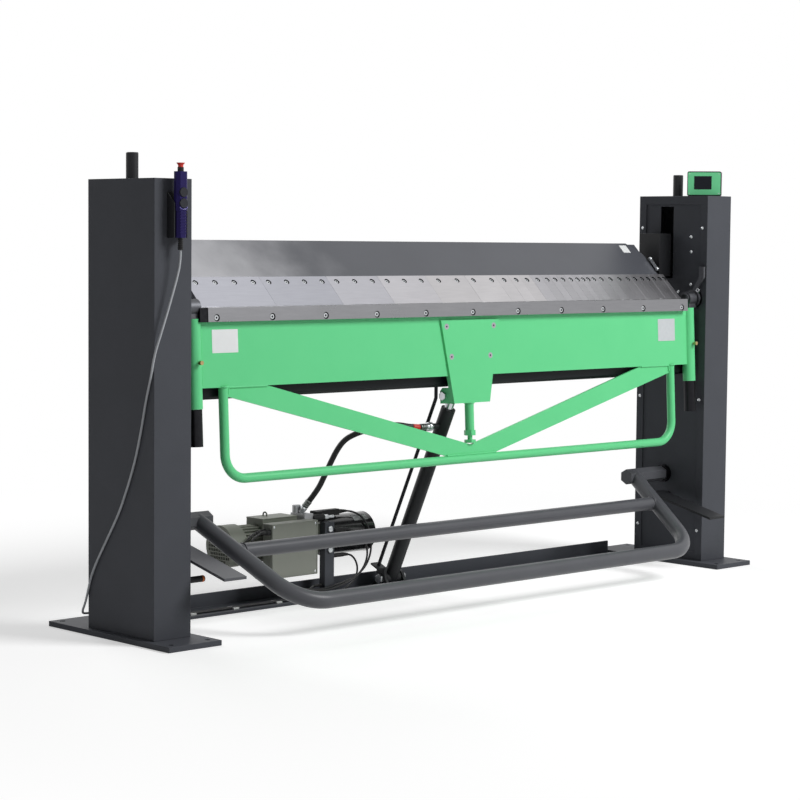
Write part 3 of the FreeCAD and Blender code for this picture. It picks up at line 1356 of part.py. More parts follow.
def pedal(name, side):
    """Pedal plate with an eye on its pin."""
    y, z = size.pedal_pivot_y, size.pedal_pivot_z
    front_y, front_z = size.pedal_front_y, size.pedal_front_z
    span = across(side, size.pedal_inner, size.pedal_inner + size.pedal_width)
    eye_top = z + size.pedal_eye_radius
    outline = [(front_y, front_z), (y, eye_top), (y, eye_top - size.pedal_sheet),
               (front_y, front_z - size.pedal_sheet)]
    plate = padded(f"{name}_plate", "X", outline, span)
    eye = round_bar(f"{name}_eye", "X", size.pedal_eye_radius, (y, z), span)
    hole = round_bar(f"{name}_hole", "X", size.pedal_pin_radius + size.running_gap, (y, z), span)
    return cut(name, fuse(f"{name}_solid", plate, eye), hole)


def make_pedals():
    """The two foot pedals."""
    for word, side in SIDES.items():
        piece(f"{word}_pedal", pedal(f"{word}_pedal", side))


motor_centre = (size.motor_y, size.motor_z)


def polar_copies(name, thing, count):
    """Copies of a thing turned about the power pack's axis, as separate solids."""
    doc.recompute()
    axis_point = vector(0, size.motor_y, size.motor_z)
    feature = doc.addObject("Part::Feature", name)
    feature.Shape = Part.makeCompound([
        thing.Shape.rotated(axis_point, Vector(1, 0, 0), 360 * number / count)
        for number in range(count)
    ])
    return feature


def make_motor():
    """Motor with fins, its fan and the cowl with a grid over the fan."""
    left, right = size.motor_left, size.motor_right
    y, z = motor_centre
    disc = size.motor_disc
    inside = size.cowl_radius - size.cowl_sheet
    core = round_bar("motor_core", "X", size.motor_core, motor_centre, (left, right))
    discs = [
        round_bar("motor_disc_left", "X", inside, motor_centre, (left, left + disc)),
        round_bar("motor_disc_right", "X", inside, motor_centre, (right - disc, right)),
    ]
    fin = box("motor_fin", (left, right), (y - size.fin_width / 2, y + size.fin_width / 2),
              (z + size.motor_core * 0.9, z + size.motor_core + size.fin_height))
    fins = polar_copies("motor_fins", fin, int(float(size.motor_fins)))
    terminal = box("terminal_box", (size.terminal_left, size.terminal_right),
                   (y - size.terminal_half, y + size.terminal_half), (z, size.terminal_top))
    seat = box("control_seat", (size.terminal_left, size.terminal_right),
               (size.box_front + size.box_depth, y), (z - size.seat_half, z + size.seat_half))
    shaft_reach = left + size.fan_shaft_inside
    bore = round_bar("fan_bore", "X", size.fan_shaft_radius + size.running_gap, motor_centre,
                     (left, shaft_reach))
    piece("motor_body", cut("motor_body", fuse("motor_solid", core, *discs, fins, terminal, seat),
                            bore))
    cowl_left = left - size.cowl_length
    shell = round_bar("cowl_shell", "X", size.cowl_radius, motor_centre, (cowl_left, left + disc))
    hollow = round_bar("cowl_hollow", "X", inside, motor_centre,
                       (cowl_left + size.cowl_sheet, left + disc))
    step_y, step_z = float(size.grid_step_y), float(size.grid_step_z)
    reach = float(size.grid_radius)
    places = [
        Vector(0, column_number * step_y, row_number * step_z)
        for column_number in range(-9, 10)
        for row_number in range(-5, 6)
        if math.hypot(column_number * step_y, row_number * step_z) < reach
    ]
    opening = box("grid_hole", (cowl_left, cowl_left + size.cowl_sheet),
                  (y - size.grid_hole_y / 2, y + size.grid_hole_y / 2),
                  (z - size.grid_hole_z / 2, z + size.grid_hole_z / 2))
    grid = repeated("grid_holes", opening, places)
    piece("fan_cowl", cut("fan_cowl", shell, hollow, grid))
    fan_left = cowl_left + size.fan_gap
    fan_right = left - size.cowl_sheet * 3
    shaft = round_bar("fan_shaft", "X", size.fan_shaft_radius, motor_centre,
                      (fan_left, shaft_reach - size.part_gap))
    hub = round_bar("fan_hub", "X", size.fan_hub_radius, motor_centre, (fan_left, fan_right))
    plate = round_bar("fan_plate", "X", size.fan_radius, motor_centre,
                      (fan_right - size.cowl_sheet, fan_right))
    blade = box("fan_blade", (fan_left, fan_right), (y - size.cowl_sheet / 2, y + size.cowl_sheet / 2),
                (z + size.fan_shaft_radius, z + size.fan_radius))
    blades = polar_copies("fan_blade_ring", blade, int(float(size.fan_blades)))
    piece("motor_fan", fuse("motor_fan", shaft, hub, plate, blades))


def make_pump():
    """Pump manifold, post with bolts, oil tank and the base of the power pack."""
    left, right = size.motor_right, size.manifold_right
    z = size.motor_z
    half = size.manifold_half
    top = z + half
    depth = size.manifold_front + half * 2
    piece("pump_manifold", box("pump_manifold", (left, right), (size.manifold_front, depth),
                               (z - half, top)))
    post_right = size.post_left + size.post_width
    post_front = size.manifold_front - size.post_depth
    piece("pump_post", box("pump_post", (size.post_left, post_right),
                           (post_front, size.manifold_front), (size.base_web, size.post_top)))
    middle = size.post_left + size.post_width / 2
    heads = [
        hexagon(f"post_bolt_{number}", "Y", size.post_bolt_radius * 2, (middle, height),
                (post_front - size.post_bolt_height, post_front))
        for number, height in enumerate((size.post_bolt_high, size.post_bolt_low))
    ]
    member("frame_bolts", *heads)
    end = right + size.tank_length
    bevel = size.tank_bevel
    tank = round_bar("tank_body", "X", size.tank_radius, motor_centre, (right, end - bevel))
    rim = cone("tank_rim", "X", (size.tank_radius, size.tank_radius - bevel), motor_centre,
               (end - bevel, end))
    piece("oil_tank", fuse("oil_tank", tank, rim))
    plug_start = post_right
    low = round_bar("plug_low", "X", size.plug_radius, (size.plug_low_y, size.plug_low_z),
                    (plug_start, size.plug_low_x))
    high = round_bar("plug_high", "X", size.plug_radius, (size.plug_high_y, size.plug_high_z),
                     (plug_start, size.plug_high_x))
    member("cable_plugs", low, high)


def make_control_box():
    """Control box in front of the motor with a screwed lid and two cable glands."""
    left, right = size.box_left, size.box_right
    front = size.box_front
    back = front + size.box_depth
    seam = front + size.lid_thickness
    upright = (size.box_bottom, size.box_top)
    shell = box("control_box_shell", (left, right), (seam, back), upright)
    glands = [
        round_bar(f"gland_{number}", "X", size.gland_radius, (y, size.gland_z),
                  (left - size.gland_length, left))
        for number, y in enumerate((size.gland_front, size.gland_back))
    ]
    piece("control_box", shell)
    member("cable_plugs", *glands)
    lid = box("lid_plate", (left, right), (front, seam), upright)
    inset = size.lid_screw_inset
    screws = [
        round_bar(f"lid_screw_{number}", "Y", size.lid_screw_radius, place,
                  (front - size.part_gap, seam))
        for number, place in enumerate(
            (x, z) for x in (left + inset, right - inset)
            for z in (size.box_bottom + inset, size.box_top - inset))
    ]
    piece("box_lid", cut("box_lid", lid, *screws))
    member("frame_bolts", *screws)


HOSE_POINTS = [
    (-172, 109, 532), (-208, 126, 540), (-241, 150, 537), (-275, 180, 526), (-301, 211, 513),
    (-318, 245, 493), (-325, 273, 459), (-331, 300, 410), (-334, 322, 371), (-342.5, 338, 334),
    (-360, 358, 299),
]


def hose_ends():
    """First point of the free hose, and the heading and end of its ferrule at the valve."""
    port = CYLINDER.multVec(vector(-size.fitting_reach, 0, size.fitting_height))
    start = port - vector(size.ferrule_length, 0, 0)
    heading = (Vector(*HOSE_POINTS[-1]) - Vector(*HOSE_POINTS[-2])).normalize()
    return port, start, heading


def make_hose():
    """Valve block with coil and plug, and the hose from it to the cylinder."""
    port, start, heading = hose_ends()
    last = Vector(*HOSE_POINTS[-1])
    length = float(size.ferrule_length)
    tube = cord("hose_tube", [start] + [Vector(*point) for point in HOSE_POINTS], size.hose_radius)
    ferrules = []
    for number, (place, way) in enumerate(((port, start - port), (last, heading))):
        ferrule = doc.addObject("Part::Cylinder", f"hose_ferrule_{number}")
        bind(ferrule, Radius=size.ferrule_radius, Height=size.ferrule_length)
        ferrule.Placement = Placement(place, Rotation(Vector(0, 0, 1), way))
        ferrules.append(ferrule)
    piece("hydraulic_hose", fuse("hydraulic_hose", tube, *ferrules))
    neck = doc.addObject("Part::Cylinder", "valve_neck")
    bind(neck, Radius=size.valve_neck_radius, Height=size.valve_neck_length)
    neck.Placement = Placement(last + heading * length, Rotation(Vector(0, 0, 1), heading))
    bottom = size.motor_z + size.manifold_half
    block = box("valve_base", (size.valve_left, size.valve_right), (size.valve_front, size.valve_back),
                (bottom, size.valve_top))
    knob = round_bar("valve_knob", "Z", size.knob_radius,
                     (size.valve_left + size.knob_radius, size.knob_y),
                     (size.valve_top, size.knob_top))
    axis = (size.coil_y, size.coil_z)
    nut = hexagon("coil_nut", "X", size.coil_nut_width, axis, (size.coil_right, size.coil_nut_right))
    tip = round_bar("coil_tip", "X", size.coil_tip_radius, axis,
                    (size.coil_nut_right, size.coil_tip_right))
    piece("valve_block", fuse("valve_block", block, knob, neck))
    member("frame_bolts", fuse("coil_nut", nut, tip))
    coil = round_bar("coil_can", "X", size.coil_radius, axis, (size.valve_right, size.coil_right))
    plug = box("coil_plug", (size.coil_right - size.coil_tip_radius, size.plug_end),
               (size.plug_front, size.plug_front + size.plug_depth),
               (size.plug_bottom, size.plug_bottom + size.plug_height))
    link = box("coil_link", (size.coil_right - size.coil_radius * 2, size.coil_right),
               (size.coil_y, size.plug_front + size.plug_depth),
               (size.coil_z, size.plug_bottom + size.plug_height))
    outlet = round_bar("coil_outlet", "X", size.plug_radius,
                       (size.plug_front + size.plug_depth / 2, size.plug_bottom + size.plug_height / 2),
                       (size.plug_end, size.plug_end + size.plug_radius * 2))
    member("cable_plugs", fuse("valve_coil", coil, link, plug, outlet))


def web_route(start, y):
    """Points along the base channel from X start to the left column, at about Y y."""
    height = float(size.base_web + size.pump_cable_radius + size.part_gap)
    sway = 1.5
    spots = [(start, -sway), (-500, 0), (-560, 0), (-620, sway), (-672, 0), (-722, 0),
             (-777, -sway), (-830, 0), (-884, 0), (-945, sway), (-1005, -sway)]
    points = [Vector(x, y + off, height) for x, off in spots]
    end = -float(size.web_cable_end)
    low, high = y - float(size.web_cable_shift), height + float(size.web_cable_rise)
    middle = Vector(end + 55, (y + low) / 2, (height + high) / 2)
    return points + [middle, Vector(end + 26, low, high), Vector(end, low, high)]


def make_cables():
    """Cables of the power pack, their clips and the outlet on the left column."""
    radius = size.pump_cable_radius
    box_rise = [
        (-285, 38), (-335, 30), (-385, 32), (-430, 39), (-480, 48), (-532, 60), (-580, 74),
        (-618, 96), (-643, 124), (-655, 155), (-655, 185), (-640, 211), (-614, 226), (-590, 226),
    ]
    valve = [(-227, 363, 256), (-199, 363, 256), (-173, 352, 249), (-156, 331, 230),
             (-148, 316, 198), (-143, 311, 160), (-145, 311, 124), (-162, 311, 88),
             (-196, 311, 61), (-240, 312, 46)]
    points = [Vector(*point) for point in valve]
    points += [vector(x, size.gland_back, z) for x, z in box_rise]
    piece("valve_cable", cord("valve_cable", points, radius))
    high = [(-256, 319.5, 207), (-229, 319.5, 207), (-202, 313, 194), (-180, 304, 170),
            (-170, 297, 134), (-182, 294, 96), (-208, 293, 68), (-243, 292, 50)]
    points = [Vector(*point) for point in high]
    points += [vector(x, size.gland_front, z) for x, z in box_rise]
    piece("upper_plug_cable", cord("upper_plug_cable", points, radius))
    low = [(-246, 330, 126), (-219, 330, 126), (-198, 327, 110), (-189, 323, 84), (-196, 320, 57),
           (-219, 317, 35), (-255, 313, 20), (-300, 310, 14), (-350, 308, 12)]
    web_front, web_back = float(size.web_front_cable), float(size.web_back_cable)
    points = [Vector(*point) for point in low] + web_route(-400, web_front)
    piece("lower_plug_cable", cord("lower_plug_cable", points, radius))
    feed_start = vector(size.feed_x, size.feed_y, size.feed_z)
    feed = [feed_start, feed_start - Vector(19, 0, 0), Vector(-385, 327, 30), Vector(-409, 321, 18)]
    points = feed + web_route(-436, web_back)
    piece("feed_cable", cord("feed_cable", points, radius))
    base = size.base_web
    clear = radius + size.part_gap
    height = base + radius + size.part_gap
    clips = []
    for number, x in enumerate((-530, -697, -857)):
        span = (x - size.clip_half, x + size.clip_half)
        block = box(f"clip_block_{number}", span,
                    (size.web_front_cable - size.clip_half, size.web_back_cable + size.clip_half),
                    (base, height + radius / 2))
        grooves = [
            round_bar(f"clip_groove_{number}_{word}", "X", clear, (y, height), span)
            for word, y in (("front", size.web_front_cable), ("back", size.web_back_cable))
        ]
        clips.append(cut(f"cable_clip_{number}", block, *grooves))
    piece("cable_clips", group("cable_clips", *clips))
    ends = [
        round_bar(f"column_outlet_{word}", "X", size.outlet_radius,
                  (y - size.web_cable_shift, height + size.web_cable_rise),
                  (-size.column_inner, -size.web_cable_end))
        for word, y in (("front", size.web_front_cable), ("back", size.web_back_cable))
    ]
    stub = round_bar("post_outlet", "X", size.outlet_radius, (size.feed_y, size.feed_z),
                     (size.feed_x, size.post_left))
    member("cable_plugs", *ends, stub)


def rounded_block(name, x, y, z, corner):
    """An upright block with bevelled upright edges."""
    outline = [(x[0] + corner, y[0]), (x[1] - corner, y[0]), (x[1], y[0] + corner),
               (x[1], y[1] - corner), (x[1] - corner, y[1]), (x[0] + corner, y[1]),
               (x[0], y[1] - corner), (x[0], y[0] + corner)]
    return padded(name, "Z", outline, z)


def make_pendant():
    """Hand pendant on its holder at the left column, with its buttons and cable."""
    x = size.pendant_x
    front, back = -size.pendant_front, -size.pendant_back
    half = size.pendant_width / 2
    grip = size.grip_width / 2
    corner = size.pendant_round
    head = rounded_block("pendant_head", (x - half, x + half), (front, back),
                         (size.pendant_ledge, size.pendant_top), corner)
    handle = rounded_block("pendant_grip", (x - grip, x + grip), (front + size.grip_step, back),
                           (size.pendant_bottom, size.pendant_ledge), corner)
    heights = (size.button_high, size.button_low)
    wells = [
        round_bar(f"button_well_{number}", "Y", size.button_radius + size.part_gap, (x, height),
                  (front, front + size.button_depth + size.button_travel))
        for number, height in enumerate(heights)
    ]
    collar_top = size.pendant_top + size.stop_height
    middle = (x, (front + back) / 2)
    collar = round_bar("stop_collar", "Z", size.stop_collar, middle, (size.pendant_top, collar_top))
    collar_bore = round_bar("stop_bore", "Z", size.stop_radius + size.part_gap, middle,
                            (size.pendant_top, collar_top))
    piece("pendant_body", cut("pendant_body", fuse("pendant_solid", head, handle), *wells))
    member("pendant_rings", cut("stop_ring", collar, collar_bore))
    for label, height in zip(("up_button", "down_button"), heights):
        piece(label, round_bar(label, "Y", size.button_radius, (x, height),
                               (front - size.button_proud, front + size.button_depth)))
    top = collar_top + size.stop_rise
    rim = size.stop_rim
    stem = round_bar("stop_stem", "Z", size.stop_radius, middle,
                     (size.pendant_top + size.stop_height / 2, top - rim))
    flare = cone("stop_cone", "Z", (size.stop_radius, size.stop_flare), middle,
                 (top - size.stop_rise / 2, top - rim))
    cap = round_bar("stop_rim", "Z", size.stop_flare, middle, (top - rim, top))
    piece("stop_button", fuse("stop_button", stem, flare, cap))
    low = size.pendant_bottom - size.relief_length
    core = round_bar("relief_core", "Z", size.relief_core, middle,
                     (low, size.pendant_bottom))
    count = int(float(size.relief_rings))
    pitch = size.relief_length / count
    rings = [
        round_bar(f"relief_ring_{number}", "Z", size.relief_radius, middle,
                  (low + pitch * number, low + pitch * (number + 0.6)))
        for number in range(count)
    ]
    member("pendant_rings", fuse("cable_relief", core, *rings))
    cheek = size.cheek_sheet
    wide = half + size.cheek_gap
    outline = [(term(0), size.pendant_bottom), (-size.cheek_reach, size.pendant_bottom),
               (-size.cheek_reach, size.cheek_front_top), (term(0), size.cheek_top)]
    cheeks = [
        padded("holder_cheek_left", "X", outline, (x - wide - cheek, x - wide)),
        padded("holder_cheek_right", "X", outline, (x + wide, x + wide + cheek)),
    ]
    plate = box("holder_plate", (x - wide, x + wide), (-cheek, term(0)),
                (size.pendant_bottom, size.cheek_top))
    pad = box("holder_pad", (x - grip / 2, x + grip / 2), (back, -cheek),
              (size.pendant_bottom, size.cheek_front_top))
    piece("pendant_holder", fuse("pendant_holder", plate, pad, *cheeks))
    side = -float(column_outer + size.cable_radius + size.part_gap * 2)
    start = vector(x, middle[1], low)
    bends = [(start.x, start.y, 1032), (-1174, -27, 990), (-1187, -23, 944), (-1205, -20, 886),
             (-1222, -16, 834), (side, -6, 784)]
    drop = [(8, 727), (30, 662), (48, 590), (72, 512), (98, 450), (123, 399), (148, 352),
            (184, 300), (222, 247), (257, 197), (280, 156), (293, 118), (305, 84)]
    behind = [(side + 5, 326, 59), (side + 22, 348, 46), (side + 48, 359, 42.5),
              (side + 74, 353, 42), (side + 91, 332, 42), (side + 91, 305, 42)]
    points = [start] + [Vector(*point) for point in bends]
    points += [Vector(side, y, z) for y, z in drop] + [Vector(*point) for point in behind]
    piece("pendant_cable", cord("pendant_cable", points, size.cable_radius))
    member("cable_plugs", round_bar("column_gland", "Y", size.cable_radius * 2,
                                    (term(points[-1].x), term(points[-1].z)),
                                    (size.column_depth, term(points[-1].y))))


def make_display():
    """Angle display on the right column: case, front plate and screen."""
    turn = Rotation(Vector(0, 0, 1), float(size.display_turn))
    spot = Placement(vector(size.display_x, size.display_y, column_top), turn)
    half = size.display_width / 2
    depth = size.display_depth / 2
    height = size.display_height
    face = size.display_front
    piece("display_case", box("display_case_block", (-half, half), (-depth, depth),
                              (term(0), height)), spot)
    margin = (size.display_width - size.display_plate_width) / 2
    low = (height - size.display_plate_height) / 2
    top = low + size.display_plate_height
    front = (-depth - face, -depth)
    plate = box("display_plate", (margin - half, half - margin), front, (low, top))
    left = margin - half + size.screen_left
    screen_top = top - size.screen_down
    window = ((left, left + size.screen_width), front, (screen_top - size.screen_height, screen_top))
    opening = box("screen_opening", *window)
    piece("display_front", cut("display_front", plate, opening), spot)
    screen = box("screen_glass", window[0], (-depth - face / 2, -depth), window[2])
    piece("display_screen", screen, spot)


make_columns()
make_lower_beam()
make_lever()
make_side_fittings()
make_folding_blade()
make_folding_plate()
make_bracket()
make_handle()
make_top_beam(make_segments())
make_lifting()
make_cylinder()
make_clevis()
make_foot_bar()
make_pedals()
make_motor()
make_pump()
make_control_box()
make_hose()
make_cables()
make_pendant()
make_display()
for label, members in SHARED.items():
    piece(label, group(label, *members), LEAN if label.startswith("folding") else None)

doc.recompute()
for made in doc.Objects:
    for state in ("Invalid", "Error"):
        if state in made.State:
            raise ValueError(f"{made.Name} is {state}")
for part in PIECES:
    if part.Shape.isNull() or not part.Shape.isValid():
        raise ValueError(f"{part.Label} has no valid shape")

os.makedirs("parts", exist_ok=True)
to_origin = vector(0, -size.front_to_middle, 0)
for part in PIECES:
    part.Shape.translated(to_origin).exportStep(f"parts/{part.Label}.step")
print(f"{len(PIECES)} sub-parts")
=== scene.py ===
import json
import math

import bmesh
import bpy
from mathutils import Matrix, Vector

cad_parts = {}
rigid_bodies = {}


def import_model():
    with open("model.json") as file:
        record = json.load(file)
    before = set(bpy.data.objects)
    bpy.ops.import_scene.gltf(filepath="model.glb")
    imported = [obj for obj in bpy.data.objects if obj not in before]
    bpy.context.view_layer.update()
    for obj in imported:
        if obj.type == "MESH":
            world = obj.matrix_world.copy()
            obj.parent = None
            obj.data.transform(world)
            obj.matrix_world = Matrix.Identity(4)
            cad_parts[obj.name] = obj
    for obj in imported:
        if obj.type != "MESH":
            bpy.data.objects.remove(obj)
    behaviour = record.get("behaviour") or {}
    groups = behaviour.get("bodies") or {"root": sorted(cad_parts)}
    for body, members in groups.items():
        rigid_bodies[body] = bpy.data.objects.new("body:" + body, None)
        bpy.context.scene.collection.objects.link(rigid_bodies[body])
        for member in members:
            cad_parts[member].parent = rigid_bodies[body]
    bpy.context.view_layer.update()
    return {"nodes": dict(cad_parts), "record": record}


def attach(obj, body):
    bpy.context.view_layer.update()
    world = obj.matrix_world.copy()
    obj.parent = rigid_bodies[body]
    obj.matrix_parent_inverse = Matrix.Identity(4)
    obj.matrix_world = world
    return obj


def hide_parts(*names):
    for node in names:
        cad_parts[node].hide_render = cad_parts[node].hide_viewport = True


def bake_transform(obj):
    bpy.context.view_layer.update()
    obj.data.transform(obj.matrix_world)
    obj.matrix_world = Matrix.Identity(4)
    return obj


# Hydraulic sheet metal folding machine, dressed over its CAD solids. Metres, +Z up, X along the
# bend, operator side towards -Y. Lengths in millimetres are turned to metres by at() and MM.

for leftover in list(bpy.data.objects):
    bpy.data.objects.remove(leftover)

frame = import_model()
NODES = frame["nodes"]
BODIES = frame["record"]["behaviour"]["bodies"]
BODY_OF = {node: body for body, nodes in BODIES.items() for node in nodes}
MM = 0.001
# From the columns' front faces, where y is 0 in the CAD's own sizes, to the frame's origin.
FRONT_TO_MIDDLE = 134


def at(x, y, z):
    """A point whose y is measured in millimetres from the columns' front faces."""
    return Vector((x * MM, (y - FRONT_TO_MIDDLE) * MM, z * MM))


def linked(obj):
    """The object, put in the scene."""
    bpy.context.scene.collection.objects.link(obj)
    return obj


# ---------------- camera

# The photograph's standpoint, in metres, and its heading, tilt and roll, in degrees.
STANDPOINT = (-4.8413, -4.8541, 1.0973)
HEADING, TILT, ROLL = -43.75, 85.883, 0.539
camera = linked(bpy.data.objects.new("camera", bpy.data.cameras.new("camera")))
camera.data.sensor_width = 36
camera.data.lens = 100.15
camera.data.clip_end = 60
camera.matrix_world = (
    Matrix.Translation(STANDPOINT)
    @ Matrix.Rotation(math.radians(HEADING), 4, "Z")
    @ Matrix.Rotation(math.radians(TILT), 4, "X")
    @ Matrix.Rotation(math.radians(ROLL), 4, "Z")
)
bpy.context.scene.camera = camera


# ---------------- materials


def colour(code):
    """Linear colour of an sRGB hex code."""
    channels = [int(code[i : i + 2], 16) / 255 for i in (1, 3, 5)]
    linear = [c / 12.92 if c <= 0.04045 else ((c + 0.055) / 1.055) ** 2.4 for c in channels]
    return (*linear, 1.0)


def add(tree, kind, values=None, **settings):
    """A node with its settings, its inputs' values, and links where a value is another's output."""
    node = tree.nodes.new(kind)
    for word, setting in settings.items():
        setattr(node, word, setting)
    for key, value in (values or {}).items():
        socket = node.inputs[key]
        if isinstance(value, bpy.types.NodeSocket):
            tree.links.new(value, socket)
        else:
            socket.default_value = value
    return node


def started(name):
    """A new material, its tree and its object coordinates."""
    material = bpy.data.materials.new(name)
    material.use_nodes = True
    tree = material.node_tree
    tree.nodes.clear()
    place = add(tree, "ShaderNodeTexCoord").outputs["Object"]
    return material, tree, place


def per_metre(size_mm):
    """Noise scale for features of a real size."""
    return 1000 / size_mm


def mottled(tree, place, dark, light, size_mm):
    """Two close tones that drift into each other over a real size."""
    drift = add(tree, "ShaderNodeTexNoise", {"Vector": place, "Scale": per_metre(size_mm),
                "Detail": 3.0, "Roughness": 0.55})
    return add(tree, "ShaderNodeMix", {"Factor": drift.outputs["Fac"], 6: colour(dark),
               7: colour(light)}, data_type="RGBA").outputs[2]


# Depth in metres of the relief at full strength: orange peel, and scratches or fine grain.
PEEL_DEPTH, GRAIN_DEPTH = 0.0004, 0.0002


def surfaced(material, tree, height, bump, depth, patches, rough, values):
    """The material with its shader: relief from one pattern, and roughness between two values from
    another."""
    relief = add(tree, "ShaderNodeBump", {"Strength": bump, "Distance": depth, "Height": height})
    sheen = add(tree, "ShaderNodeMapRange", {"Value": patches, "To Min": rough[0],
                "To Max": rough[1]})
    skin = add(tree, "ShaderNodeBsdfPrincipled", {
        "Roughness": sheen.outputs[0], "Normal": relief.outputs["Normal"], **values})
    add(tree, "ShaderNodeOutputMaterial", {"Surface": skin.outputs[0]})
    return material


def with_painted_sheen(tree, place, base, start, full):
    """The base colour with a painted sheen: a pale patch that comes up in clouds between two X
    positions.
    """
    wisp_mm, sway, most = 150, 0.5, 0.95
    parts = add(tree, "ShaderNodeSeparateXYZ", {0: place})
    wisps = add(tree, "ShaderNodeTexNoise", {"Vector": place, "Scale": per_metre(wisp_mm),
                "Detail": 5.0, "Roughness": 0.5})
    shift = add(tree, "ShaderNodeMath", {0: wisps.outputs["Fac"], 1: sway, 2: -sway / 2},
                operation="MULTIPLY_ADD")
    wavering = add(tree, "ShaderNodeMath", {0: parts.outputs["X"], 1: shift.outputs[0]},
                   operation="ADD")
    painted_sheen_mask = add(tree, "ShaderNodeMapRange", {"Value": wavering.outputs[0], "From Min": start,
               "From Max": full, "To Max": most}, interpolation_type="SMOOTHSTEP")
    return add(tree, "ShaderNodeMix", {"Factor": painted_sheen_mask.outputs[0], 6: base, 7: colour("#c2c2c6")},
               data_type="RGBA").outputs[2]


def powder_coat(name, dark, light, peel_mm=4.0, rough=(0.38, 0.5), bump=0.05, coat=0.0, gloss=0.25,
                painted_sheen_span=None):
    """Polyester powder coating, baked: an even semi-gloss skin with orange peel. The real peel is
    1 to 2 mm across, drawn coarser so that it shows as a slight unrest in the reflections. The last
    argument names two X positions in metres between which a painted sheen comes up, pale, in
    clouds."""
    cloud_mm, tone_mm = 180, 120
    material, tree, place = started(name)
    peel = add(tree, "ShaderNodeTexNoise", {"Vector": place, "Scale": per_metre(peel_mm),
               "Detail": 2.0})
    cloud = add(tree, "ShaderNodeTexNoise", {"Vector": place, "Scale": per_metre(cloud_mm),
                "Detail": 4.0})
    base = mottled(tree, place, dark, light, tone_mm)
    if painted_sheen_span:
        base = with_painted_sheen(tree, place, base, *painted_sheen_span)
    return surfaced(material, tree, peel.outputs["Fac"], bump, PEEL_DEPTH, cloud.outputs["Fac"],
                    rough, {"Base Color": base, "IOR": 1.5, "Specular IOR Level": gloss,
                            "Coat Weight": coat, "Coat Roughness": 0.18})


def ground_steel(name, dark, light, rough=(0.3, 0.44), tone=None):
    """Surface-ground steel: bright, with fine straight grinding lines along X. The lines are 0.2 mm
    apart in reality, drawn wider so that the streaks show. tone names a face attribute that tints
    it."""
    stretched, line_mm, cloud_mm = 12.0, 6.0, 90
    material, tree, place = started(name)
    streaks = add(tree, "ShaderNodeMapping", {"Vector": place,
                  "Scale": (1.0, stretched, stretched)})
    lines = add(tree, "ShaderNodeTexNoise", {"Vector": streaks.outputs[0],
                "Scale": per_metre(line_mm * stretched), "Detail": 6.0, "Roughness": 0.7})
    cloud = add(tree, "ShaderNodeTexNoise", {"Vector": place, "Scale": per_metre(cloud_mm),
                "Detail": 3.0})
    base = add(tree, "ShaderNodeMix", {"Factor": lines.outputs["Fac"], 6: colour(dark),
               7: colour(light)}, data_type="RGBA").outputs[2]
    if tone:
        own = add(tree, "ShaderNodeAttribute", attribute_name=tone)
        base = add(tree, "ShaderNodeMix", {"Factor": 1.0, 6: base, 7: own.outputs["Color"]},
                   data_type="RGBA", blend_type="MULTIPLY").outputs[2]
    return surfaced(material, tree, lines.outputs["Fac"], 0.08, GRAIN_DEPTH, cloud.outputs["Fac"],
                    rough, {"Base Color": base, "Metallic": 1.0})


def grained(name, dark, light, tone_mm, rough, grain_mm, detail, bump, values):
    """Skin of small parts: one fine pattern gives both the relief and the roughness."""
    material, tree, place = started(name)
    grain = add(tree, "ShaderNodeTexNoise", {"Vector": place, "Scale": per_metre(grain_mm),
                "Detail": detail}).outputs["Fac"]
    base = mottled(tree, place, dark, light, tone_mm)
    return surfaced(material, tree, grain, bump, GRAIN_DEPTH, grain, rough,
                    {"Base Color": base, **values})


def plain_metal(name, dark, light, rough=(0.25, 0.4), size_mm=14.0):
    """Plated or bare metal of small parts: clear highlights that break up a little on its skin."""
    return grained(name, dark, light, size_mm, rough, size_mm, 4.0, 0.05, {"Metallic": 1.0})


def moulded(name, dark, light, rough=(0.35, 0.5), bump=0.1, gloss=0.3):
    """Moulded plastic or rubber: dull to satin, with the mould's fine sparkle."""
    return grained(name, dark, light, 30, rough, 3.0, 3.0, bump,
                   {"IOR": 1.5, "Specular IOR Level": gloss})


# Columns, top beam and channel: even dark anthracite with hardly any shine.
COLUMN_COAT = powder_coat("powder_coated_steel_anthracite", "#484a4f", "#4e5056", gloss=0.08)
# Sloped plate: the same coat, smoother, a touch lighter as painted light on its upward slope,
# and with a painted sheen, a pale patch in clouds over its left end.
BEAM_COAT_AND_SHEEN = powder_coat("powder_coated_steel_anthracite_sloped", "#4a4c52", "#515359",
                        rough=(0.28, 0.36), gloss=0.4, painted_sheen_span=(-0.4, -1.15))
# Folding beam: fresh light green, a soft sheen on its bends and tubes.
GREEN_COAT = powder_coat("powder_coated_steel_green", "#61cf8a", "#69d490", rough=(0.32, 0.42))
# Rim of the end tubes: a pale green line, a painted highlight on the rim.
GREEN_RIM_HIGHLIGHT = powder_coat("powder_coat_thin_on_edge", "#a9dcb9", "#b9e6c6", rough=(0.3, 0.4))
# Foot bar: mid grey tube with a broad soft highlight along its top.
RAIL_COAT = powder_coat("powder_coated_tube_grey", "#505155", "#5a5b60", rough=(0.28, 0.4))
# Lower beam: nearly black, a faint blue light on its folded edge. The same black is the painted
# shade that lines the bolts' counterbores and covers their sockets.
BEAM_BLACK_AND_BORE_SHADE = powder_coat("black_painted_beam", "#0e1114", "#161a1d", rough=(0.35, 0.5), gloss=0.15)
# Brackets, clevis, cylinder and pedal: dull black paint.
BLACK_COAT = powder_coat("black_painted_steel", "#1b1c1e", "#242528", rough=(0.4, 0.55))
# Clamping segments: bright ground faces, each a little lighter or darker than the next, their
# tone attribute also carrying painted reflections along the row.
SEGMENT_STEEL = ground_steel("surface_ground_tool_steel", "#b3b2b5", "#c8c7c9", tone="tone")
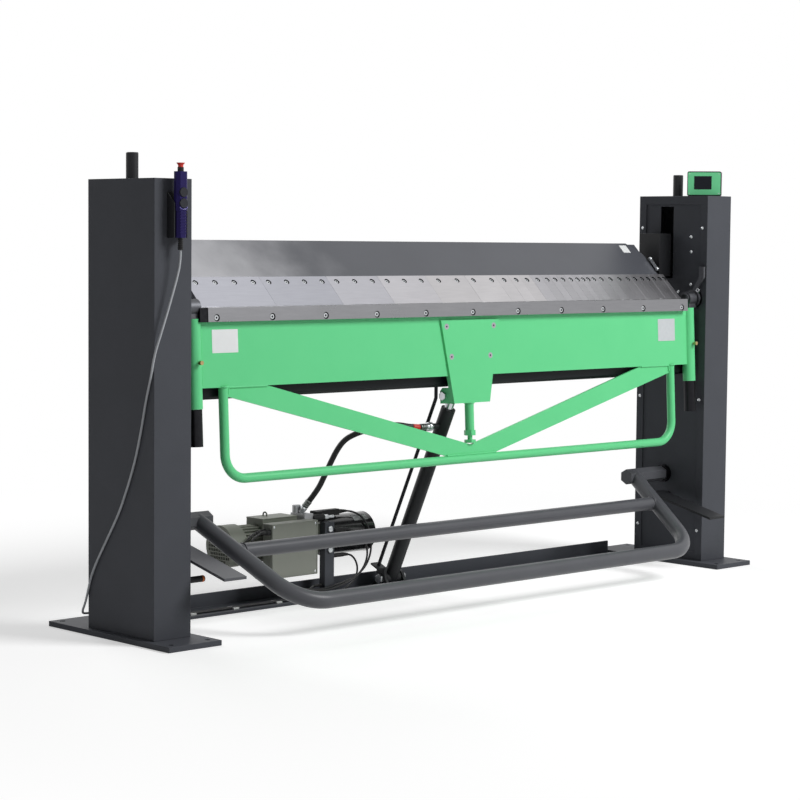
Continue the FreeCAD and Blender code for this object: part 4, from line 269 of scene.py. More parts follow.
# Folding blade: mid grey ground steel with long streaks.
BLADE_STEEL = ground_steel("ground_blade_steel", "#828285", "#949497", rough=(0.24, 0.34))
# Screws and pins: bright zinc with sharp small highlights.
ZINC = plain_metal("zinc_plated_steel", "#b4b7ba", "#ced1d3")
# Piston rod: mirror-bright chrome.
CHROME = plain_metal("hard_chromed_rod", "#b4b6b9", "#c8cacc", rough=(0.08, 0.14))
# Countersunk screws of the bracket: dull grey against the green.
STAINLESS = plain_metal("stainless_countersunk_screws", "#96939a", "#aba8ae", rough=(0.4, 0.5))
# Crimped hose sleeves: dark matt grey-green metal.
FERRULE_GREY = plain_metal("phosphated_hose_ferrule", "#5c605e", "#787c79", rough=(0.35, 0.5))
# Washers, bars and bores: black with a faint gleam. In the bracket screws' sockets the same black
# is painted shade.
BLACK_OXIDE_AND_SOCKET_SHADE = plain_metal("black_oxide_steel", "#1c1c1e", "#2a2a2d", rough=(0.3, 0.5))
# Hinges and lever: dull mid grey bare castings.
LEVER_STEEL = plain_metal("phosphated_steel", "#4a4b4f", "#5a5b5f", rough=(0.4, 0.55))
# Thumb screws: small warm points of pale brass.
BRASS = plain_metal("turned_brass", "#a08a5c", "#b9a478", rough=(0.25, 0.38))
# Valve block and knob: pale cast metal, slightly grainy.
ALUMINIUM = plain_metal("cast_aluminium", "#8c8d8f", "#a8a9ab", rough=(0.35, 0.55), size_mm=9.0)
# Motor and cowl: grey-green enamel over a rough casting.
MOTOR_ENAMEL = powder_coat("cast_housing_enamel", "#7b7e75", "#8b8e84", peel_mm=6.0,
                           rough=(0.38, 0.52), bump=0.2)
# Control box: the same enamel on a smoother box, a little lighter.
BOX_ENAMEL = powder_coat("control_box_enamel", "#7e8079", "#8a8c84", peel_mm=6.0,
                         rough=(0.42, 0.55))
# Tank: black gloss that mirrors the floor and the sky in long bands.
TANK_GLOSS = powder_coat("black_gloss_tank_paint", "#121213", "#1b1b1d", rough=(0.14, 0.24),
                         coat=0.6)
# Hose: matt black rubber, its cloth pattern a fine unrest.
HOSE_RUBBER = moulded("nitrile_rubber_hose_cover", "#151516", "#1f1f20", rough=(0.42, 0.6))
# Cables of the pump: smooth black jackets with a thin line of light.
BLACK_PVC = moulded("black_pvc_cable_jacket", "#1a1a1b", "#242426", rough=(0.38, 0.5))
# Pendant cable: light grey, satin.
GREY_PVC = moulded("light_grey_pvc_cable_jacket", "#a4a7ac", "#b3b6ba", rough=(0.4, 0.5))
# Plugs, fan and case: dull black moulded parts.
BLACK_NYLON = moulded("black_moulded_nylon", "#161617", "#222223", rough=(0.4, 0.6), gloss=0.2)
# Pendant: deep violet, nearly matt.
VIOLET_ABS = moulded("violet_moulded_abs", "#1b1444", "#241c58", rough=(0.4, 0.5), gloss=0.12)
# Lip under the buttons: the same violet, polished, and much lighter than the body: a painted
# highlight for the bright line it catches.
VIOLET_LIP_HIGHLIGHT = moulded("violet_polished_abs", "#4a4390", "#5a53a0", rough=(0.12, 0.2), gloss=0.8)
# Push buttons: dark grey rubber, quite dull.
BUTTON_GREY = moulded("dark_grey_button_rubber", "#232429", "#2e2f35", rough=(0.45, 0.6),
                      gloss=0.15)
# Stop button and hose band: clear red.
RED_PLASTIC = moulded("red_moulded_plastic", "#c8352f", "#d6453c", rough=(0.3, 0.4))
# Ring of the sensor: orange, small.
ORANGE_RING = moulded("orange_moulded_plastic", "#d06a2a", "#dd7a38", rough=(0.35, 0.45))
# Cable clips: white nylon.
WHITE_NYLON = moulded("white_moulded_nylon", "#d9dad8", "#e6e7e5", rough=(0.4, 0.55))
# Blank labels: pale even film.
LABEL_FILM = moulded("blank_pale_label_film", "#dfe1e2", "#e9ebeb", rough=(0.3, 0.4), bump=0.02)
# Blank plate at the right: soft silver.
LABEL_METAL = plain_metal("blank_anodised_label_plate", "#b9bdc0", "#c8ccce", rough=(0.4, 0.5))
# Front of the display: flat bright green.
GREEN_FILM = moulded("green_printed_front_film", "#77e1a0", "#80e6a8", rough=(0.3, 0.4), bump=0.05,
                     gloss=0.15)
# Its screen: dark blue glass with a clear reflection.
SCREEN_GLASS = moulded("dark_display_glass", "#0d121b", "#141a26", rough=(0.1, 0.16), bump=0.0,
                       gloss=0.15)


# ---------------- making pieces


def shown(obj, body, material=None, replaced=()):
    """Finishes a piece: its material, its CAD body and the solids it stands for."""
    if material is not None:
        obj.data.materials.clear()
        obj.data.materials.append(material)
    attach(obj, body)
    if replaced:
        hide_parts(*replaced)
    return obj


def applied(obj):
    """The object with its modifiers turned into plain mesh."""
    graph = bpy.context.evaluated_depsgraph_get()
    graph.update()
    mesh = bpy.data.meshes.new_from_object(obj.evaluated_get(graph), preserve_all_data_layers=True,
                                           depsgraph=graph)
    obj.modifiers.clear()
    obj.data = mesh
    return obj


def merged(node, keep=None):
    """A bmesh copy of a CAD node's solids with its doubles merged. keep, given a solid's middle in
    millimetres, says whether that solid stays."""
    shape = bmesh.new()
    shape.from_mesh(NODES[node].data)
    bmesh.ops.remove_doubles(shape, verts=shape.verts, dist=1e-6)
    if keep:
        for solid in solids(shape):
            if not keep(middle(solid)):
                bmesh.ops.delete(shape, geom=solid, context="VERTS")
    return shape


def solids(shape):
    """The vertices of each separate solid in a bmesh, in the order of their first vertices, which
    is the same in each run."""
    reached, found = set(), []
    for first in shape.verts:
        if first in reached:
            continue
        reached.add(first)
        solid = [first]
        for vertex in solid:
            for edge in vertex.link_edges:
                other = edge.other_vert(vertex)
                if other not in reached:
                    reached.add(other)
                    solid.append(other)
        found.append(solid)
    return found


def middle(vertices):
    """Middle of some vertices' box, in millimetres from the columns' front faces."""
    corner = [[f(v.co[k] for v in vertices) for k in range(3)] for f in (min, max)]
    x, y, z = ((corner[0][k] + corner[1][k]) / 2 / MM for k in range(3))
    return Vector((x, y + FRONT_TO_MIDDLE, z))


def smooth_by_angle(shape):
    """Shades a bmesh smooth, apart from the edges that turn by more than 30 degrees."""
    limit = math.radians(30)
    for edge in shape.edges:
        edge.smooth = len(edge.link_faces) == 2 and edge.calc_face_angle(0) < limit
    for face in shape.faces:
        face.smooth = True


def edgy(shape):
    """The bmesh with its faces turned outwards and its sharp edges kept sharp."""
    bmesh.ops.recalc_face_normals(shape, faces=shape.faces)
    smooth_by_angle(shape)
    return shape


def made(name, shape):
    """An object from a bmesh, at the origin."""
    mesh = bpy.data.meshes.new(name)
    shape.to_mesh(mesh)
    shape.free()
    return linked(bpy.data.objects.new(name, mesh))


def joined(shapes):
    """One bmesh from several."""
    whole = bmesh.new()
    for shape in shapes:
        mesh = bpy.data.meshes.new("joining")
        shape.to_mesh(mesh)
        shape.free()
        whole.from_mesh(mesh)
        bpy.data.meshes.remove(mesh)
    return whole


def edged(obj, width, **limits):
    """Rounds an object's edges by a width in millimetres, and keeps its flat faces flat."""
    rounding = obj.modifiers.new("rounding", "BEVEL")
    rounding.width = width * MM
    rounding.segments = 2
    for word, setting in limits.items():
        setattr(rounding, word, setting)
    obj.modifiers.new("weighing", "WEIGHTED_NORMAL").keep_sharp = True
    return applied(obj)


SHARP_TURN = math.radians(35)


def refined(name, node, material, width, long_mm, keep=None, tones=None):
    """Copy of a CAD node with rounded edges: every sharp edge that is at least long_mm long gets a
    round of width millimetres, so that it catches the light."""
    shape = merged(node, keep)
    bmesh.ops.dissolve_limit(shape, angle_limit=math.radians(0.6), verts=shape.verts,
                             edges=shape.edges, delimit={"SHARP"})
    whole = joined([shape])
    smooth_by_angle(whole)
    weight = whole.edges.layers.float.new("bevel_weight_edge")
    for edge in whole.edges:
        if len(edge.link_faces) == 2 and edge.calc_length() >= long_mm * MM:
            if edge.calc_face_angle(0) > SHARP_TURN:
                edge[weight] = 1.0
    if tones:
        layer = whole.faces.layers.float_color.new("tone")
        for tone, solid in zip(tones, sorted(solids(whole), key=lambda s: middle(s).x)):
            for face in {face for vertex in solid for face in vertex.link_faces}:
                face[layer] = tone
    obj = edged(made(name, whole), width, limit_method="WEIGHT")
    return shown(obj, BODY_OF[node], material, [node])


def skinned(rings, closed_ends=True):
    """A bmesh whose skin, smooth all over, runs through rings of points."""
    shape = bmesh.new()
    rows = [[shape.verts.new(point) for point in points] for points in rings]
    for row, following in zip(rows, rows[1:]):
        for k in range(len(row)):
            after = (k + 1) % len(row)
            shape.faces.new((row[k], row[after], following[after], following[k]))
    if closed_ends:
        shape.faces.new(reversed(rows[0]))
        shape.faces.new(rows[-1])
    for face in shape.faces:
        face.smooth = True
    return shape


def tube_along(points, radii, sides=20, closed_ends=True):
    """A round bmesh swept along points, with a radius in metres at each."""
    tangents = [(points[min(i + 1, len(points) - 1)] - points[max(i - 1, 0)]).normalized()
                for i in range(len(points))]
    normal = tangents[0].orthogonal().normalized()
    angles = [2 * math.pi * k / sides for k in range(sides)]
    rings = []
    for point, tangent, radius in zip(points, tangents, radii):
        normal = (normal - tangent * normal.dot(tangent)).normalized()
        side = tangent.cross(normal)
        rings.append([point + (normal * math.cos(a) + side * math.sin(a)) * radius for a in angles])
    return skinned(rings, closed_ends)


# ---------------- cords


def route(name, points):
    """One open spline with the route's points as its control points."""
    curve = bpy.data.curves.new(name, "CURVE")
    curve.dimensions = "3D"
    curve.resolution_u = 12
    spline = curve.splines.new("NURBS")
    spline.points.add(len(points) - 1)
    for spot, point in zip(spline.points, points):
        spot.co = (*point, 1.0)
    spline.order_u = 3
    spline.use_endpoint_u = True
    return linked(bpy.data.objects.new(name, curve))


def cable(node, points, radius_mm=3.1, material=BLACK_PVC):
    """A free cable on its route, round and closed at its ends. Gives the route back."""
    points = [at(*point) for point in points]
    obj = route(f"{node}_round", points)
    obj.data.bevel_depth = radius_mm * MM
    obj.data.bevel_resolution = 3
    obj.data.use_fill_caps = True
    shown(obj, "frame", material, [node])
    return points


def centreline(name, points):
    """The points that a route's own spline gives, evaluated without a bevel."""
    obj = route(name, points)
    graph = bpy.context.evaluated_depsgraph_get()
    mesh = bpy.data.meshes.new_from_object(obj.evaluated_get(graph), depsgraph=graph)
    line = [vertex.co.copy() for vertex in mesh.vertices]
    bpy.data.objects.remove(obj)
    bpy.data.meshes.remove(mesh)
    return line


WEB_CABLE_HEIGHT = 11.5
# X and Z of the way that two cables take below the motor and up to the control box's glands.
BOX_RISE = [(-285, 38), (-335, 30), (-385, 32), (-430, 39), (-480, 48), (-532, 60), (-580, 74),
            (-618, 96), (-643, 124), (-655, 155), (-655, 185), (-640, 211), (-614, 226),
            (-590, 226)]


def web_route(start, y):
    """Along the base channel from X start to the outlet on the left column, at about Y y."""
    spots = [(start, -1.5), (-500, 0), (-560, 0), (-620, 1.5), (-672, 0), (-722, 0), (-777, -1.5),
             (-830, 0), (-884, 0), (-945, 1.5), (-1005, -1.5)]
    points = [(x, y + off, WEB_CABLE_HEIGHT) for x, off in spots]
    return points + [(-1041, y - 7.5, 18), (-1070, y - 15, 24.5), (-1096, y - 15, 24.5)]


valve_points = cable("valve_cable", [
    (-227, 363, 256), (-199, 363, 256), (-173, 352, 249), (-156, 331, 230), (-148, 316, 198),
    (-143, 311, 160), (-145, 311, 124), (-162, 311, 88), (-196, 311, 61), (-240, 312, 46),
] + [(x, 313.1, z) for x, z in BOX_RISE])
upper_points = cable("upper_plug_cable", [
    (-256, 319.5, 207), (-229, 319.5, 207), (-202, 313, 194), (-180, 304, 170), (-170, 297, 134),
    (-182, 294, 96), (-208, 293, 68), (-243, 292, 50),
] + [(x, 291.8, z) for x, z in BOX_RISE])
lower_points = cable("lower_plug_cable", [
    (-246, 330, 126), (-219, 330, 126), (-198, 327, 110), (-189, 323, 84), (-196, 320, 57),
    (-219, 317, 35), (-255, 313, 20), (-300, 310, 14), (-350, 308, 12),
] + web_route(-400, 306))
feed_points = cable("feed_cable", [
    (-346, 330, 40), (-365, 330, 40), (-385, 327, 30), (-409, 321, 18),
] + web_route(-436, 317))

# The pendant's cable falls to the column's outer side, runs down on it and turns in at its foot.
PENDANT_X, PENDANT_SIDE = -1164.7, -1233.05
pendant_points = cable("pendant_cable", [
    (PENDANT_X, -30, 1065), (PENDANT_X, -30, 1032), (-1174, -27, 990), (-1187, -23, 944),
    (-1205, -20, 886), (-1222, -16, 834),
] + [(PENDANT_SIDE, y, z) for y, z in (
    (-6, 784), (8, 727), (30, 662), (48, 590), (72, 512), (98, 450), (123, 399), (148, 352),
    (184, 300), (222, 247), (257, 197), (280, 156), (293, 118), (305, 84))
] + [(PENDANT_SIDE + x, y, z) for x, y, z in (
    (5, 326, 59), (22, 348, 46), (48, 359, 42.5), (74, 353, 42), (91, 332, 42), (91, 305, 42))
], 3.25, GREY_PVC)

# The hose leaves the cylinder's swivel fitting, sags and comes up to the valve block's fitting.
HOSE_RADIUS = 8.75
hose_points = [at(*p) for p in (
    (-135, 105.5, 529.7), (-172, 109, 532), (-208, 126, 540), (-241, 150, 537), (-275, 180, 526),
    (-301, 211, 513), (-318, 245, 493), (-325, 273, 459), (-331, 300, 410), (-334, 322, 371),
    (-342.5, 338, 334), (-360, 358, 299))]
hose_line = centreline("hose_route", hose_points)
hose = made("hydraulic_hose_round",
            tube_along(hose_line, [HOSE_RADIUS * MM] * len(hose_line), sides=24))

# ---------------- bodies of sheet and plate

LEFT_REFLECTION_TINT, MIDDLE_REFLECTION_TINT, RIGHT_REFLECTION_TINT = (0.68, 0.695, 0.745), (0.93, 0.918, 0.912), (0.76, 0.76, 0.775)
# Tint of each of the 28 segments: bluish at the left, warm in the middle, plain at the right.
# The small steps between neighbours are the segments' own tone; the bluish, warm and plain zones
# are painted reflection, the brightness each part of the row takes from what it mirrors.
TONES_AND_REFLECTIONS = [(*(share * part for part in tint), 1.0) for tint, shares in (
    (LEFT_REFLECTION_TINT, (1.0, 0.96)), ((0.77, 0.775, 0.81), (0.98,)), ((0.85, 0.845, 0.86), (1.0,)),
    (MIDDLE_REFLECTION_TINT, (0.95, 1.0, 0.96, 0.97, 0.92)),
    (RIGHT_REFLECTION_TINT, (0.98, 0.93, 0.97, 0.9, 0.96, 0.91, 0.97, 0.9, 0.95, 0.89, 0.96, 0.9, 0.94, 0.9,
             0.95, 0.91, 0.96, 0.9, 0.93)))
    for share in shares]

# Node, how it is finished, its material, its edges' width and shortest length, and its slot.
for node, finish, material, width, long_mm, slot in (
    ("left_column", "coated", COLUMN_COAT, 1.2, 20, "column_paint"),
    ("right_column", "coated", COLUMN_COAT, 1.2, 20, "column_paint"),
    ("column_covers", "coated", COLUMN_COAT, 0.8, 20, "column_paint"),
    ("foot_plates", "coated", COLUMN_COAT, 1.0, 10, "column_paint"),
    ("base_channel", "coated", COLUMN_COAT, 1.0, 10, "column_paint"),
    ("lower_beam", "painted", BEAM_BLACK_AND_BORE_SHADE, 1.0, 10, "column_paint"),
    ("lower_blade", "ground", BLADE_STEEL, 0.6, 10, "blade_steel"),
    ("top_beam", "coated", COLUMN_COAT, 0.8, 20, "column_paint"),
    ("top_plate", "coated", BEAM_COAT_AND_SHEEN, 0.8, 5, "column_paint"),
    ("beam_carriers", "painted", BLACK_COAT, 1.0, 10, "black_steel"),
    ("folding_blade", "ground", BLADE_STEEL, 0.6, 200, "blade_steel"),
    ("blade_bar", "painted", BLACK_COAT, 0.6, 20, "black_steel"),
    ("folding_plate", "coated", GREEN_COAT, 0.8, 15, "green_paint"),
    ("centre_bracket", "coated", GREEN_COAT, 0.8, 12, "green_paint"),
    ("handle_frame", "coated", GREEN_COAT, 1.0, 20, "green_paint"),
    ("clamping_segments", "ground", SEGMENT_STEEL, 0.5, 12, "ground_steel"),
    ("foot_bar", "coated", RAIL_COAT, 1.0, 30, "column_paint"),
    ("left_pedal", "painted", RAIL_COAT, 0.8, 10, "black_steel"),
    ("right_pedal", "painted", BLACK_COAT, 0.8, 10, "black_steel"),
    ("cylinder_clevis", "painted", BLACK_COAT, 0.8, 10, "black_steel"),
    ("pump_manifold", "cast", MOTOR_ENAMEL, 2.0, 10, "pump_paint"),
    ("pump_post", "coated", COLUMN_COAT, 0.8, 10, "black_steel"),
    ("control_box", "enamelled", BOX_ENAMEL, 2.0, 10, "pump_paint"),
    ("box_lid", "enamelled", BOX_ENAMEL, 1.5, 10, "pump_paint"),
    ("valve_block", "machined", ALUMINIUM, 0.8, 10, "aluminium"),
    ("pendant_body", "moulded", VIOLET_ABS, 1.5, 8, "violet_plastic"),
    ("pendant_holder", "bent", BLACK_COAT, 0.6, 10, "black_steel"),
):
    refined(f"{node}_{finish}", node, material, width, long_mm,
            tones=TONES_AND_REFLECTIONS if material is SEGMENT_STEEL else None)

# The cylinder's rod is chromed, and its eye above this height blackened.
ROD_EYE_HEIGHT = 560
rod = refined("cylinder_rod_chromed", "cylinder_rod", CHROME, 0.6, 6)
rod.data.materials.append(BLACK_OXIDE_AND_SOCKET_SHADE)
for polygon in rod.data.polygons:
    if polygon.center.z > ROD_EYE_HEIGHT * MM:
        polygon.material_index = 1

# CAD pieces that are shown as they are.
for node, material in {
    "side_pins": BLACK_OXIDE_AND_SOCKET_SHADE, "cable_plugs": BLACK_NYLON, "tie_rod": BLACK_OXIDE_AND_SOCKET_SHADE,
    "motor_body": MOTOR_ENAMEL, "fan_cowl": MOTOR_ENAMEL, "oil_tank": TANK_GLOSS,
    "cable_clips": WHITE_NYLON, "pendant_rings": BLACK_NYLON, "thumb_screws": BRASS,
    "hinge_barrels": LEVER_STEEL, "lift_rods": BLACK_COAT, "cylinder_barrel": BLACK_COAT,
    "up_button": BUTTON_GREY, "down_button": BUTTON_GREY, "stop_button": RED_PLASTIC,
    "hinge_lever": LEVER_STEEL, "motor_fan": BLACK_NYLON,
}.items():
    slots = NODES[node].data.materials
    slots.clear()
    slots.append(material)

hose.data.materials.append(HOSE_RUBBER)
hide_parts("hydraulic_hose")
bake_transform(hose)

# ---------------- turned, bent and cut details


def turned(base, direction, profile, sides=24):
    """A turned (or, with six sides, hexagonal) solid: profile gives distance and radius in
    millimetres along a direction from its base."""
    axis = direction.normalized()
    across = axis.orthogonal().normalized()
    other = axis.cross(across)
    ways = [across * math.cos(a) + other * math.sin(a)
            for a in (2 * math.pi * k / sides for k in range(sides))]
    return skinned([[base + axis * distance * MM + way * radius * MM for way in ways]
                    for distance, radius in profile])


def hexed(base, direction, start, end, flats, chamfer=1.0):
    """A hexagon nut or head with chamfered corners, between two distances."""
    corner = flats / 2 / math.cos(math.pi / 6)
    rise = chamfer * 0.6
    return turned(base, direction, [(start, corner - chamfer), (start + rise, corner),
                  (end - rise, corner), (end, corner - chamfer)], 6)


def lathed(profile, sides=24):
    """A solid turned about Z, its profile given by radius and height in millimetres."""
    return skinned([[(radius * MM * math.cos(2 * math.pi * k / sides),
                      radius * MM * math.sin(2 * math.pi * k / sides), height * MM)
                     for k in range(sides)] for radius, height in profile])


def slab(outline, depth):
    """A prism from an outline of points, pushed by a vector."""
    shape = bmesh.new()
    near = [shape.verts.new(point) for point in outline]
    far = [shape.verts.new(point + depth) for point in outline]
    shape.faces.new(near)
    shape.faces.new(far)
    for k in range(len(near)):
        following = (k + 1) % len(near)
        shape.faces.new((near[k], near[following], far[following], far[k]))
    return edgy(shape)


def rounded(origin, right, up, width, height, corner):
    """Corner points of a rounded rectangle about an origin, sizes in millimetres."""
    points, steps = [], 4
    for turn, (sx, sy) in enumerate(((1, 1), (-1, 1), (-1, -1), (1, -1))):
        for step in range(steps + 1):
            angle = math.pi / 2 * (turn + step / steps)
            x = sx * (width / 2 - corner) + corner * math.cos(angle)
            y = sy * (height / 2 - corner) + corner * math.sin(angle)
            points.append(origin + (right * x + up * y) * MM)
    return points


def piece(name, shapes, body, material, replaced=(), soft=0):
    """A piece of its own from several bmeshes, its sharp edges rounded by soft millimetres."""
    obj = made(name, joined(shapes))
    if soft:
        edged(obj, soft, angle_limit=SHARP_TURN)
    return shown(obj, body, material, replaced)


# The folding beam's lean at rest, about the line of the bend.
LEAN = math.radians(3)
BEND_Y, BEND_Z = 48, 908


def leaned(x, y, z):
    """A point of the folding beam, given upright, as it leans at rest."""
    dy, dz = y - BEND_Y, z - BEND_Z
    return at(x, BEND_Y + dy * math.cos(LEAN) + dz * math.sin(LEAN),
              BEND_Z + dz * math.cos(LEAN) - dy * math.sin(LEAN))


X, Y, Z = Vector((1, 0, 0)), Vector((0, 1, 0)), Vector((0, 0, 1))
BEAM_FRONT = Vector((0, -math.cos(LEAN), math.sin(LEAN)))
BEAM_UP = Vector((0, math.sin(LEAN), math.cos(LEAN)))
SLOPE_OUT = Vector((0, -1, 1)).normalized()
SLOPE_UP = Vector((0, 1, 1)).normalized()

# ---------------- repeated pieces


def grouped(name, **inputs):
    """A geometry nodes tree with named inputs, each given by its socket's kind."""
    tree = bpy.data.node_groups.new(name, "GeometryNodeTree")
    tree.is_modifier = True
    for word, kind in {"Geometry": "Geometry", **inputs}.items():
        tree.interface.new_socket(word.replace("_", " "), in_out="INPUT",
                                  socket_type=f"NodeSocket{kind}")
    tree.interface.new_socket("Geometry", in_out="OUTPUT", socket_type="NodeSocketGeometry")
    return tree, add(tree, "NodeGroupInput").outputs


def ended(tree, geometry, finish):
    """The tree, ending in plain geometry with its material."""
    real = add(tree, "GeometryNodeRealizeInstances", {0: geometry})
    finished = add(tree, "GeometryNodeSetMaterial", {"Geometry": real.outputs[0],
                   "Material": finish})
    add(tree, "NodeGroupOutput", {0: finished.outputs[0]})
    return tree


def scatter_tree():
    """Geometry nodes that put one pattern on every vertex of a mesh, its Z along the vertex's axis,
    turned about it by a random spin."""
    tree, given = grouped("fasteners_on_points", Pattern="Object", Finish="Material",
                          Spin_Spread="Float", Size="Float")
    pattern = add(tree, "GeometryNodeObjectInfo", {"Object": given["Pattern"]})
    axis = add(tree, "GeometryNodeInputNamedAttribute", {"Name": "axis"}, data_type="FLOAT_VECTOR")
    aimed = add(tree, "FunctionNodeAlignRotationToVector", {"Vector": axis.outputs["Attribute"]},
                axis="Z")
    spin = add(tree, "FunctionNodeRandomValue", {"Max": given["Spin Spread"], "Seed": 7},
               data_type="FLOAT")
    turn = add(tree, "ShaderNodeCombineXYZ", {"Z": spin.outputs[1]})
    twist = add(tree, "FunctionNodeEulerToRotation", {0: turn.outputs[0]})
    spun = add(tree, "FunctionNodeRotateRotation", {"Rotation": aimed.outputs[0],
               "Rotate By": twist.outputs[0]}, rotation_space="LOCAL")
    placed = add(tree, "GeometryNodeInstanceOnPoints", {"Points": given["Geometry"],
                 "Instance": pattern.outputs["Geometry"], "Rotation": spun.outputs[0],
                 "Scale": given["Size"]})
    return ended(tree, placed.outputs[0], given["Finish"])


def weld_tree():
    """Geometry nodes that lay a rippled weld bead along the edges of a mesh."""
    tree, given = grouped("rippled_weld_bead", Bead_Radius="Float", Ripple_Pitch="Float",
                          Ripple_Depth="Float", Finish="Material")
    line = add(tree, "GeometryNodeMeshToCurve", {"Mesh": given["Geometry"]})
    step = add(tree, "ShaderNodeMath", {0: given["Ripple Pitch"], 1: 0.25}, operation="MULTIPLY")
    fine = add(tree, "GeometryNodeResampleCurve", {"Curve": line.outputs[0],
               "Length": step.outputs[0]}, mode="LENGTH")
    along = add(tree, "GeometryNodeSplineParameter")
    turns = add(tree, "ShaderNodeMath", {0: along.outputs["Length"], 1: given["Ripple Pitch"]},
                operation="DIVIDE")
    angle = add(tree, "ShaderNodeMath", {0: turns.outputs[0], 1: 2 * math.pi}, operation="MULTIPLY")
    wave = add(tree, "ShaderNodeMath", {0: angle.outputs[0]}, operation="SINE")
    ripple = add(tree, "ShaderNodeMath", {0: wave.outputs[0], 1: given["Ripple Depth"], 2: 1.0},
                 operation="MULTIPLY_ADD")
    waved = add(tree, "GeometryNodeSetCurveRadius", {"Curve": fine.outputs[0],
                "Radius": ripple.outputs[0]})
    section = add(tree, "GeometryNodeCurvePrimitiveCircle", {"Resolution": 8,
                  "Radius": given["Bead Radius"]})
    bead = add(tree, "GeometryNodeCurveToMesh", {"Curve": waved.outputs[0],
               "Profile Curve": section.outputs[0], "Fill Caps": True})
    return ended(tree, bead.outputs[0], given["Finish"])


SCATTER = scatter_tree()
WELD = weld_tree()


def grown(obj, tree, **values):
    """Runs a geometry nodes tree on an object and keeps the plain mesh."""
    modifier = obj.modifiers.new("growing", "NODES")
    modifier.node_group = tree
    for socket in tree.interface.items_tree:
        word = socket.name.replace(" ", "_")
        if socket.in_out == "INPUT" and word in values:
            modifier[socket.identifier] = values[word]
    return applied(obj)


def scattered(name, pattern, places, material, body, replaced=(), spin=math.pi):
    """The pattern's mesh at every (point, axis), as one piece."""
    mesh = bpy.data.meshes.new(name)
    mesh.from_pydata([point for point, _ in places], [], [])
    axis = mesh.attributes.new("axis", "FLOAT_VECTOR", "POINT")
    for item, (_, direction) in zip(axis.data, places):
        item.vector = direction
    obj = linked(bpy.data.objects.new(name, mesh))
    template = made(f"{name}_pattern", pattern)
    grown(obj, SCATTER, Pattern=template, Finish=material, Spin_Spread=spin, Size=1.0)
    bpy.data.objects.remove(template)
    return shown(obj, body, None, replaced)


def welded(name, runs, material, body, radius):
    """Weld beads along runs of points."""
    points, edges = [], []
    for run in runs:
        start = len(points)
        points += run
        edges += [(start + k, start + k + 1) for k in range(len(run) - 1)]
    mesh = bpy.data.meshes.new(name)
    mesh.from_pydata(points, edges, [])
    obj = linked(bpy.data.objects.new(name, mesh))
    pitch, depth = 4.5, 0.16
    grown(obj, WELD, Bead_Radius=radius * MM, Ripple_Pitch=pitch * MM, Ripple_Depth=depth,
          Finish=material)
    for polygon in obj.data.polygons:
        polygon.use_smooth = True
    return shown(obj, body, None)


def ring(heart, axis, radius, start=0.0, end=360.0, steps=24):
    """Points round an axis, radius in millimetres, angles in degrees."""
    side = axis.orthogonal().normalized()
    other = axis.normalized().cross(side)
    angles = (math.radians(start + (end - start) * k / steps) for k in range(steps + 1))
    return [heart + (side * math.cos(a) + other * math.sin(a)) * radius * MM for a in angles]


def tips(node, direction, keep=None):
    """Where each solid of a CAD node ends in a direction, on its own middle line, with that way."""
    shape = merged(node, keep)
    found = []
    for solid in solids(shape):
        centre = at(*middle(solid))
        reach = max((vertex.co - centre).dot(direction) for vertex in solid)
        found.append((centre + direction * reach, direction))
    shape.free()
    return found


def socket_head(radius, height, across, chamfer=0.6):
    """Head with a round recess for its socket, its top at Z 0, sizes in millimetres."""
    return edgy(lathed([(radius, -height), (radius, -chamfer), (radius - chamfer, 0.0),
                        (across / 2, 0.0), (across / 2, -height * 0.5)]))


def domed_head(radius, height, slot_width):
    """Domed head with a driver slot, its foot at Z -height."""
    rows = 5
    shape = lathed([(radius * math.cos(a), -height + height * math.sin(a))
                    for a in (math.pi / 2 * row / rows for row in range(rows))])
    for vertex in shape.verts:
        if abs(vertex.co.y) < slot_width * MM and vertex.co.z > -height * 0.7 * MM:
            vertex.co.z -= height * 0.35 * MM
    return shape


def shade_cup(radius, depth):
    """Wall and floor of a counterbore as a thin dark shell, open at the top, which is at Z 0:
    painted shade inside the bore.
    """
    wall, sill, sheet = 0.08, 0.1, 0.3
    return edgy(lathed([(radius, -depth), (radius, -sill), (radius - wall, -sill),
                        (radius - wall, sheet - depth)], 28))


def sunk(places, depth):
    """The same places, pushed in by a depth in millimetres."""
    return [(point - way * depth * MM, way) for point, way in places]


# The folding beam's bolts by height: the blade's at the top, then the bracket's, then the pin's.
BLADE_BOLTS_ABOVE, BRACKET_BOLTS_ABOVE = 860, 700

# Bolt heads: each sits sunk in its counterbore. A black lining on the bore's wall is painted shade,
# the dark crescent beside the head, and a black hex over each socket is painted shade in its hole.
for kind, body, node, spots, head, depth, bore, flats in (
    ("segment", "top_beam", "segment_bolts", tips("segment_bolts", SLOPE_OUT),
     (6.0, 4.2, 5.0), 1.5, (8.72, 5.85), 5.4),
    ("blade", "folding_beam", "folding_bolts",
     tips("folding_bolts", BEAM_FRONT, lambda m: m.z > BLADE_BOLTS_ABOVE),
     (7.2, 3.4, 6.5), 1.4, (9.9, 4.6), 6.4),
):
    low = sunk(spots, depth)
    scattered(f"{kind}_bolt_heads", socket_head(*head), low, ZINC, body, [node])
    scattered(f"{kind}_bore_walls", shade_cup(*bore), spots, BEAM_BLACK_AND_BORE_SHADE, body, spin=0.0)
    scattered(f"{kind}_bolt_sockets", hexed(Vector(), -Z, -0.05, 0.5, flats, 0.1), low, BEAM_BLACK_AND_BORE_SHADE,
              body)
bracket_spots = sunk(tips("folding_bolts", BEAM_FRONT,
                          lambda m: BRACKET_BOLTS_ABOVE < m.z < BLADE_BOLTS_ABOVE), -0.3)
scattered("bracket_screw_heads", socket_head(9.6, 4.0, 6.0, 0.8), bracket_spots, STAINLESS,
          "folding_beam")
